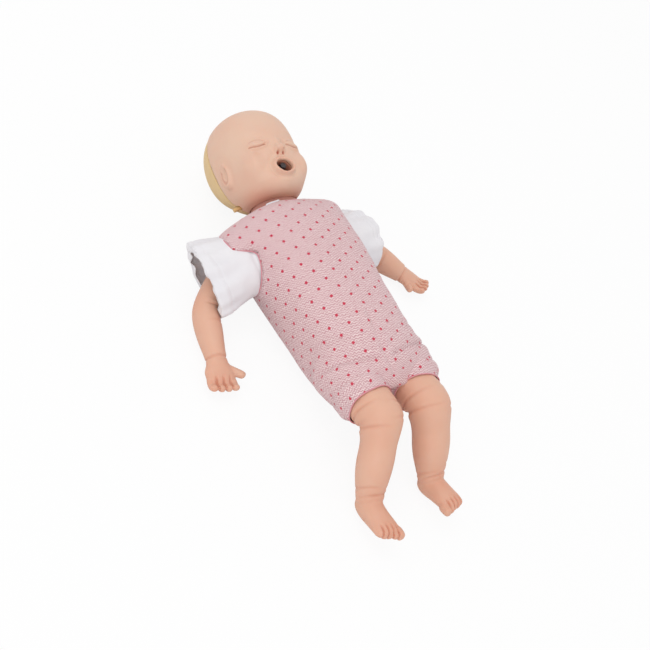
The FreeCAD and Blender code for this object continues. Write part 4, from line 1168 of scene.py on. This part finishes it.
def over_hips(points):
    """Lets the romper's body swell over the tops of the thighs, in one smooth skin."""
    spots, faces = [], []
    for side in (-1, 1):
        tube, _, _ = trouser_grid(side, 0.0, 40, 0.05)
        rows, columns = tube.shape[:2]
        first = len(spots)
        spots += [Vector(p) for p in tube.reshape(-1, 3)]
        for i in range(rows - 1):
            for j in range(columns):
                a, b = first + i * columns + j, first + i * columns + (j + 1) % columns
                faces.append((a, b, b + columns, a + columns))
    tree = BVHTree.FromPolygons(spots, faces)
    for i in range(points.shape[0]):
        for j in range(points.shape[1]):
            x, y, z = points[i, j]
            if y > -55:
                continue
            centre = Vector((side_bend(y), y, 56))
            way = Vector((x, y, z)) - centre
            far = way.length
            if far < 1e-6:
                continue
            way.normalize()
            struck, _, _, _ = tree.ray_cast(centre + way * 150, -way, 150)
            reach = (struck - centre).length if struck else 0.0
            share = 1 - float(smooth_step(-y, 124, 139))
            soft = 5.0
            blended = 0.5 * (far + reach + math.sqrt((far - reach) ** 2 + soft**2)) - 0.12 * soft
            reach = far + (blended - far) * share if reach > far - 14 else far
            points[i, j] = np.array(centre + way * max(far, reach))
    points[:, :, 2] = np.maximum(points[:, :, 2], 0.0)
    return points


def baggy(points):
    """The romper hangs full over the left hip, and lies flatter between neck and shoulder."""
    for centre, reach, move in (
        ((70, -98, 88), (28, 24, 45), (7.0, 0, 2.0)),
        ((68, -140, 88), (28, 24, 45), (7.0, 0, 0)),
        ((76, -22, 85), (26, 34, 45), (-4.0, 0, 0)),
        ((-74, -40, 50), (26, 50, 45), (2.5, 0, 0)),
        ((24, 118, 104), (26, 18, 25), (0, -1, -1.5)),
        ((-76, -128, 45), (26, 26, 45), (7.0, 0, 0)),
        ((62, 112, 85), (18, 18, 25), (3.0, 3.0, 2.0)),
    ):
        share = np.exp(-(((points - np.array(centre)) / np.array(reach)) ** 2).sum(axis=-1))
        points = points + share[..., None] * np.array(move)
    return points


def stretch_strap(piece):
    """The romper's right shoulder spreads out over the top of the sleeve."""
    spots = places(piece.data) / MM
    edge = np.linalg.norm((spots[:, 1:] - ARMHOLE_CENTRE) / ARMHOLE_HALVES, axis=1) - 1
    share = bell(edge * 38, 15) * smooth_step(spots[:, 1], 66, 86) * (spots[:, 0] < -40)
    share = share * smooth_step(spots[:, 2], 45, 62)
    set_places(piece.data, (spots + share[:, None] * np.array([-25, -3, -8])) * MM)
    cloth = piece.data.uv_layers["Cloth"].data
    for loop in piece.data.loops:
        cloth[loop.index].uv.x += 0.024 * share[loop.vertex_index]


def past_groin(points, side):
    """Distance beyond the crease between the body and that leg of the romper."""
    foot, way = {-1: ((-64, -100), (-0.342, -0.940)), 1: ((27, -112), (0.207, -0.978))}[side]
    return (points[..., :2] - np.array(foot)) @ np.array(way)


def hug_leg(points, share, leg):
    """Draws the lower part of a trouser leg in to the limb inside it."""
    work = bmesh.new()
    work.from_mesh(leg.data)
    tree = BVHTree.FromBMesh(work)
    work.free()
    for row in range(points.shape[0]):
        if share[row] <= 0:
            continue
        middle = points[row].mean(axis=0)
        for column in range(points.shape[1]):
            way = Vector(points[row, column] - middle)
            far = way.length
            way.normalize()
            struck = tree.ray_cast((Vector(middle) + way * 60) * MM, -way, 0.06)[0]
            if struck:
                wanted = (struck / MM - Vector(middle)).length + 1.7
                far += (wanted - far) * share[row]
                points[row, column] = np.array(Vector(middle) + way * far)
    return points


def close_seat(points):
    """Carries the lower edge of the romper's body in between the legs, with a slack middle."""
    low = points[0]
    middle = low.mean(axis=0)
    rows = []
    for share in np.linspace(0.99, 0.06, SEAT_ROWS):
        inward = (middle - low) * share
        inward[:, 1] += 5 * float(smooth_step(share, 0.0, 0.6))
        rows.append(low + inward)
    return np.concatenate([np.array(rows), points])


def finish_cloth(points, ways, lift):
    return points + ways * lift[:, :, None]


front_column = ROUND // 2
bodice = close_seat(baggy(over_hips(trunk_grid(0.0, 0.09, 0.965))))
uv = cloth_uv(bodice, front_column)
uv[..., 1] -= uv[SEAT_ROWS, 0, 1]
ways = grid_normals(bodice)
lift = ripple(bodice, 34.0, 0.9, 3.0) + ripple(bodice, 13.0, 0.35, 9.0)
for path, width, depth in (
    (((-60, -70), (-44, -84), (-22, -100)), 2.2, 0.9),
    (((40, -78), (24, -92), (4, -104)), 2.2, 0.9),
    (((-6, -60), (-9, -86), (-8, -112), (-4, -135)), 2.6, 1.6),
    (((-61, 46), (-64, 20), (-67, -7)), 1.2, 0.5),
    (((38, 96), (33, 72), (26, 50)), 1.6, 0.6),
    (((-46, 84), (-30, 60), (-14, 30)), 2.4, 0.5),
    (((70, -70), (50, -84), (30, -92)), 2.4, 0.9),
    (((-70, -66), (-48, -78), (-30, -90)), 2.4, 0.8),
    (((64, 8), (52, -20), (46, -50)), 3.0, 0.6),
):
    lift = lift + fold(bodice, path, width, depth)
armhole_edge = (bodice[..., 1:] - ARMHOLE_CENTRE) / ARMHOLE_HALVES
armhole_edge = (np.linalg.norm(armhole_edge, axis=-1) - 1) * 38
hem = bell(armhole_edge - 2.2, 2.0) * (np.abs(bodice[..., 0]) > 40)
hem = hem + bell(neck_distance(bodice) - ROMPER_NECK - 2.5, 1.8) * (bodice[..., 1] > 96)
lift = lift + 0.35 * hem
for side in (-1, 1):
    own = smooth_step(side * (bodice[..., 0] + 8), 2, 12) * smooth_step(bodice[..., 2], 30, 70)
    beyond = past_groin(bodice, side)
    lift = lift + own * (1.2 * bell(beyond - 8, 5) + 0.8 * bell(beyond + 7, 4) - 2.8 * bell(beyond, 1.7))
lift = np.where(bodice[..., 2] < 3, 0.0, lift)
shaped = finish_cloth(bodice, ways, lift)
shaped[:, :, 2] = np.maximum(shaped[:, :, 2], 0.05)
shaped[0] = shaped[0].mean(axis=0)
open_here = in_armhole(shaped, 0) | in_neckline(shaped, ROMPER_NECK)
romper_body = cloth_mesh("romper_body", shaped, uv, ~open_here, snap_openings(ROMPER_NECK, 0))
stretch_strap(romper_body)
romper_edges = edge_loops(romper_body)
thicken(romper_body, 1.2 * MM)
dress(romper_body, ROMPER_CLOTH)
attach(romper_body, "torso")
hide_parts("romper")

for number, loop in enumerate(romper_edges):
    middle = np.mean(np.array(loop), axis=0)
    if middle[1] > -0.1 and len(loop) > 12:
        trim = piping("romper_piping_%d" % number, loop, 0.75 * MM)
        dress(trim, ROMPER_HEM)
        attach(trim, "torso")

shirt_points = baggy(trunk_grid(2.0, 0.30, 0.98))
shirt_uv = cloth_uv(shirt_points, front_column)
shirt_ways = grid_normals(shirt_points)
shirt_lift = ripple(shirt_points, 24.0, 0.35, 5.0)
shirt_lift = shirt_lift + 0.3 * bell(neck_distance(shirt_points) - SHIRT_NECK - 2, 1.6)
shirt_points = finish_cloth(shirt_points, shirt_ways, shirt_lift)
shirt_open = in_armhole(shirt_points, -3.5) | in_neckline(shirt_points, SHIRT_NECK)
shirt = cloth_mesh("shirt_body", shirt_points, shirt_uv, ~shirt_open, snap_openings(SHIRT_NECK, -3.5))
shirt_edges = edge_loops(shirt)
thicken(shirt, 0.9 * MM)
dress(shirt, SHIRT_CLOTH)
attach(shirt, "torso")
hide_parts("undershirt")
work = bmesh.new()
work.from_mesh(romper_body.data)
surface = BVHTree.FromBMesh(work)
work.free()
collar = []
for share in np.linspace(0, 1, 40):
    spot = COLLAR_START + (COLLAR_END - COLLAR_START) * share
    spot[2] += 3.5 * math.sin(math.pi * share)
    at, way, _, _ = surface.find_nearest(Vector(spot) * MM)
    collar.append(at + way * 0.7 * MM)
band = piping("shirt_collar", collar, 1.2 * MM, closed=False)
dress(band, SHIRT_HEM)
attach(band, "torso")

for number, loop in enumerate(shirt_edges):
    middle = np.mean(np.array(loop), axis=0)
    if middle[1] > 0.1:
        trim = piping("collar_piping_%d" % number, loop, 1.1 * MM, 0.4 * MM)
        dress(trim, SHIRT_HEM)
        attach(trim, "torso")

# Trouser legs: TROUSER_RUN is the cloth's length from where it starts to its hem

TROUSER_RUN = 62
for name, side in (("right", -1), ("left", 1)):
    points, thigh, end = trouser_grid(side, 0.0)
    uv = cloth_uv(points, 64)
    points = baggy(points)
    share = np.linspace(0, 1, points.shape[0])[:, None]
    angle = -math.pi / 2 + 2 * math.pi * np.arange(points.shape[1]) / points.shape[1]
    limb = bpy.data.objects[name + "_leg_vinyl"]
    inner = np.maximum(side * np.cos(angle), 0)[None, :, None]
    points = points - 7 * inner * smooth_step(share, 0.6, 1.0)[..., None] * thigh
    points = hug_leg(points, smooth_step(share[:, 0], 0.66, 1.0) * 0.92, limb)
    ways = grid_normals(points)
    lift = ripple(points, 20.0, 1.3, 12.0 + side) * smooth_step(share, 0.2, 0.7)
    lift = lift + 0.45 * np.sin(5 * angle + side)[None, :] * smooth_step(share, 0.55, 1.0)
    lift = lift - 3.0 * (1 - smooth_step(-points[..., 1], 118, 132))
    from_hem = (1 - share) * TROUSER_RUN
    lift = lift + 0.5 * bell(from_hem - 5.0, 2.4) - 0.4 * bell(from_hem - 8.5, 1.0)
    outer = np.clip(np.cos(angle - 2.4), 0, 1)
    crossing = bell(share * TROUSER_RUN - 40 + 6 * np.sin(angle), 2.6) * outer
    points = finish_cloth(points, ways, lift - 0.7 * crossing)
    points[:, :, 2] = np.maximum(points[:, :, 2], 0.05)
    trouser = cloth_mesh("trouser_" + name, points, uv)
    loops = edge_loops(trouser)
    thicken(trouser, 1.1 * MM)
    dress(trouser, ROMPER_CLOTH)
    hip = HIP[side]
    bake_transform(trouser)
    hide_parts("romper")
    low = max(loops, key=lambda loop: float(np.mean((np.array(loop) / MM - hip) @ thigh)))
    trim = piping("trouser_piping_" + name, low, 0.7 * MM)
    dress(trim, ROMPER_HEM)
    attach(trim, "leg_" + name)

# Sleeves: flared caps with gathers that deepen towards a stitched hem band

for name, side in (("right", -1), ("left", 1)):
    centre, half_length, half_height = SLEEVE_END[side]
    centre = np.array(centre, dtype=float)
    root = np.array([side * 66.0, *ARMHOLE_CENTRE])
    ahead = centre - root
    ahead /= np.linalg.norm(ahead)
    root_size = (ARMHOLE_HALVES[0] - 0.8, ARMHOLE_HALVES[1] - 0.8)
    line = [
        (root - ahead * 12, *root_size),
        (root, *root_size),
        (root + (centre - root) * 0.35, root_size[0] - 1, root_size[1] - 1),
        (root + (centre - root) * 0.75, half_length - 1, half_height),
        (centre, half_length, half_height),
        (centre + ahead * 16, half_length, half_height),
    ]
    rings = tube_rings(line, 36)
    at = np.linspace(0.9, 4.6, 60)
    angle = -math.pi / 2 + 2 * math.pi * np.arange(160) / 160
    points = cloth_surface(rings, at, angle)
    drop = math.radians(20)
    mouth = np.array([side * math.cos(drop), 0, -math.sin(drop)])
    ways = grid_normals(points)
    beyond = np.maximum((points - centre) @ mouth, 0)
    points = points - beyond[:, :, None] * mouth
    reach = np.clip(((points - root) @ ahead) / np.linalg.norm(centre - root), 0, 1)
    gathers = 0.55 * np.sin(9 * angle + 0.8 * side) + 0.35 * np.sin(14 * angle + 2.0)
    gathers = gathers + 0.3 * np.sin(5 * angle)
    lift = gathers[None, :] * (0.5 * bell(reach - 0.12, 0.12) + 2.6 * smooth_step(reach, 0.15, 1.0))
    lift = lift + ripple(points, 16.0, 1.6, 20.0 + side) * smooth_step(reach, 0.1, 0.8)
    lift = lift - 1.4 * bell(reach - 0.10, 0.05)
    lift = lift + 0.5 * bell(reach - 0.9, 0.05) - 0.5 * bell(reach - 0.82, 0.02)
    uv = cloth_uv(points, 80)
    points = finish_cloth(points, ways, lift)
    shift = np.array([-4.8, -1.8, 0]) if side < 0 else np.array([-0.6, 1.8, 0])
    points = points + smooth_step(reach, 0.3, 1.0)[..., None] * shift
    sleeve = cloth_mesh("sleeve_" + name, points, uv)
    loops = edge_loops(sleeve)
    thicken(sleeve, 0.8 * MM)
    dress(sleeve, SHIRT_CLOTH)
    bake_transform(sleeve)
    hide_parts("undershirt")

# Hard pieces that stay as the CAD has them

for node, material in {
    "chest_shell": SHELL_WHITE,
    "back_shell": SHELL_WHITE,
    "chest_plate": SHELL_WHITE,
    "guide_tube": SHELL_WHITE,
    "guide_rod": SHELL_WHITE,
    "neck_bearing": SHELL_WHITE,
    "neck_yoke": SHELL_WHITE,
    "head_carrier": SHELL_WHITE,
    "right_arm_plug": SHELL_WHITE,
    "left_arm_plug": SHELL_WHITE,
    "right_leg_plug": SHELL_WHITE,
    "left_leg_plug": SHELL_WHITE,
    "skull_front": SKULL_TAN,
    "shell_screws": STEEL,
    "chest_spring": STEEL,
    "neck_pin": STEEL,
    "lung_bellows": RUBBER,
    "airway_tube": RUBBER,
}.items():
    NODES[node].data.materials.clear()
    NODES[node].data.materials.append(material)

# Floor, light and camera


def make_floor():
    work = bmesh.new()
    bmesh.ops.create_grid(work, x_segments=1, y_segments=1, size=6.0)
    mesh = bpy.data.meshes.new("floor")
    work.to_mesh(mesh)
    work.free()
    floor = add_piece("floor", mesh)
    material, w, shader = new_material("pale floor")
    shader.inputs["Base Color"].default_value = (0.86, 0.86, 0.86, 1)
    shader.inputs["Roughness"].default_value = 0.9
    glow = w.node("ShaderNodeEmission")
    glow.inputs["Strength"].default_value = 1.0
    blend = w.node("ShaderNodeMixShader")
    seen = w.math("MULTIPLY", w.node("ShaderNodeLightPath").outputs["Is Camera Ray"], 0.9)
    w.join(seen, blend.inputs[0])
    w.join(shader.outputs[0], blend.inputs[1])
    w.join(glow.outputs[0], blend.inputs[2])
    w.join(blend.outputs[0], material.node_tree.nodes["Material Output"].inputs["Surface"])
    floor.data.materials.append(material)
    return floor


make_floor()

WORLD_LIGHT = 0.82
world = bpy.data.worlds.new("studio")
bpy.context.scene.world = world
world.use_nodes = True
w = Wiring(world.node_tree)
background = world.node_tree.nodes["Background"]
rays = w.node("ShaderNodeLightPath")
seen = w.math("MAXIMUM", rays.outputs["Is Camera Ray"], rays.outputs["Is Glossy Ray"])
seen = w.math("MAXIMUM", seen, rays.outputs["Is Transmission Ray"])
w.join(w.math("MULTIPLY_ADD", seen, 1.0 - WORLD_LIGHT, WORLD_LIGHT), background.inputs["Strength"])
background.inputs["Color"].default_value = (1, 1, 1, 1)


def area_light(name, place, size, power):
    lamp = bpy.data.lights.new(name, "AREA")
    lamp.shape = "DISK"
    lamp.size = size
    lamp.energy = power
    holder = bpy.data.objects.new(name, lamp)
    holder.location = place
    holder.rotation_euler = (Vector((0, 0, 0.05)) - Vector(place)).to_track_quat("-Z", "Y").to_euler()
    bpy.context.scene.collection.objects.link(holder)


area_light("key", (-0.5, 0.6, 1.9), 1.3, 7.0)
area_light("fill", (-1.3, -1.2, 1.3), 1.6, 8.0)

# The photograph's camera, in its pixels: width, focal length and how far its middle is off
PICTURE_WIDTH = 650
FOCAL_LENGTH = 998.5
OFF_MIDDLE = (4.6, -18.7)
SENSOR = 36.0
azimuth, elevation, roll = (math.radians(angle) for angle in (-55.43, 44.66, 33.87))
target = Vector((0, 0, 0.044))
back = Vector(
    (
        math.sin(azimuth) * math.cos(elevation),
        -math.cos(azimuth) * math.cos(elevation),
        math.sin(elevation),
    )
)
right = Vector((0, 0, 1)).cross(back).normalized()
up = back.cross(right)
turned_right = right * math.cos(roll) + up * math.sin(roll)
turned_up = up * math.cos(roll) - right * math.sin(roll)
lens = bpy.data.cameras.new("camera")
lens.sensor_width = SENSOR
lens.lens = FOCAL_LENGTH / PICTURE_WIDTH * SENSOR
lens.shift_x = OFF_MIDDLE[0] / PICTURE_WIDTH
lens.shift_y = OFF_MIDDLE[1] / PICTURE_WIDTH
camera = bpy.data.objects.new("camera", lens)
matrix = Matrix((turned_right, turned_up, back)).transposed().to_4x4()
matrix.translation = target + back * 1.210
camera.matrix_world = matrix
bpy.context.scene.collection.objects.link(camera)
bpy.context.scene.camera = camera
bpy.context.scene.view_settings.view_transform = "Standard"
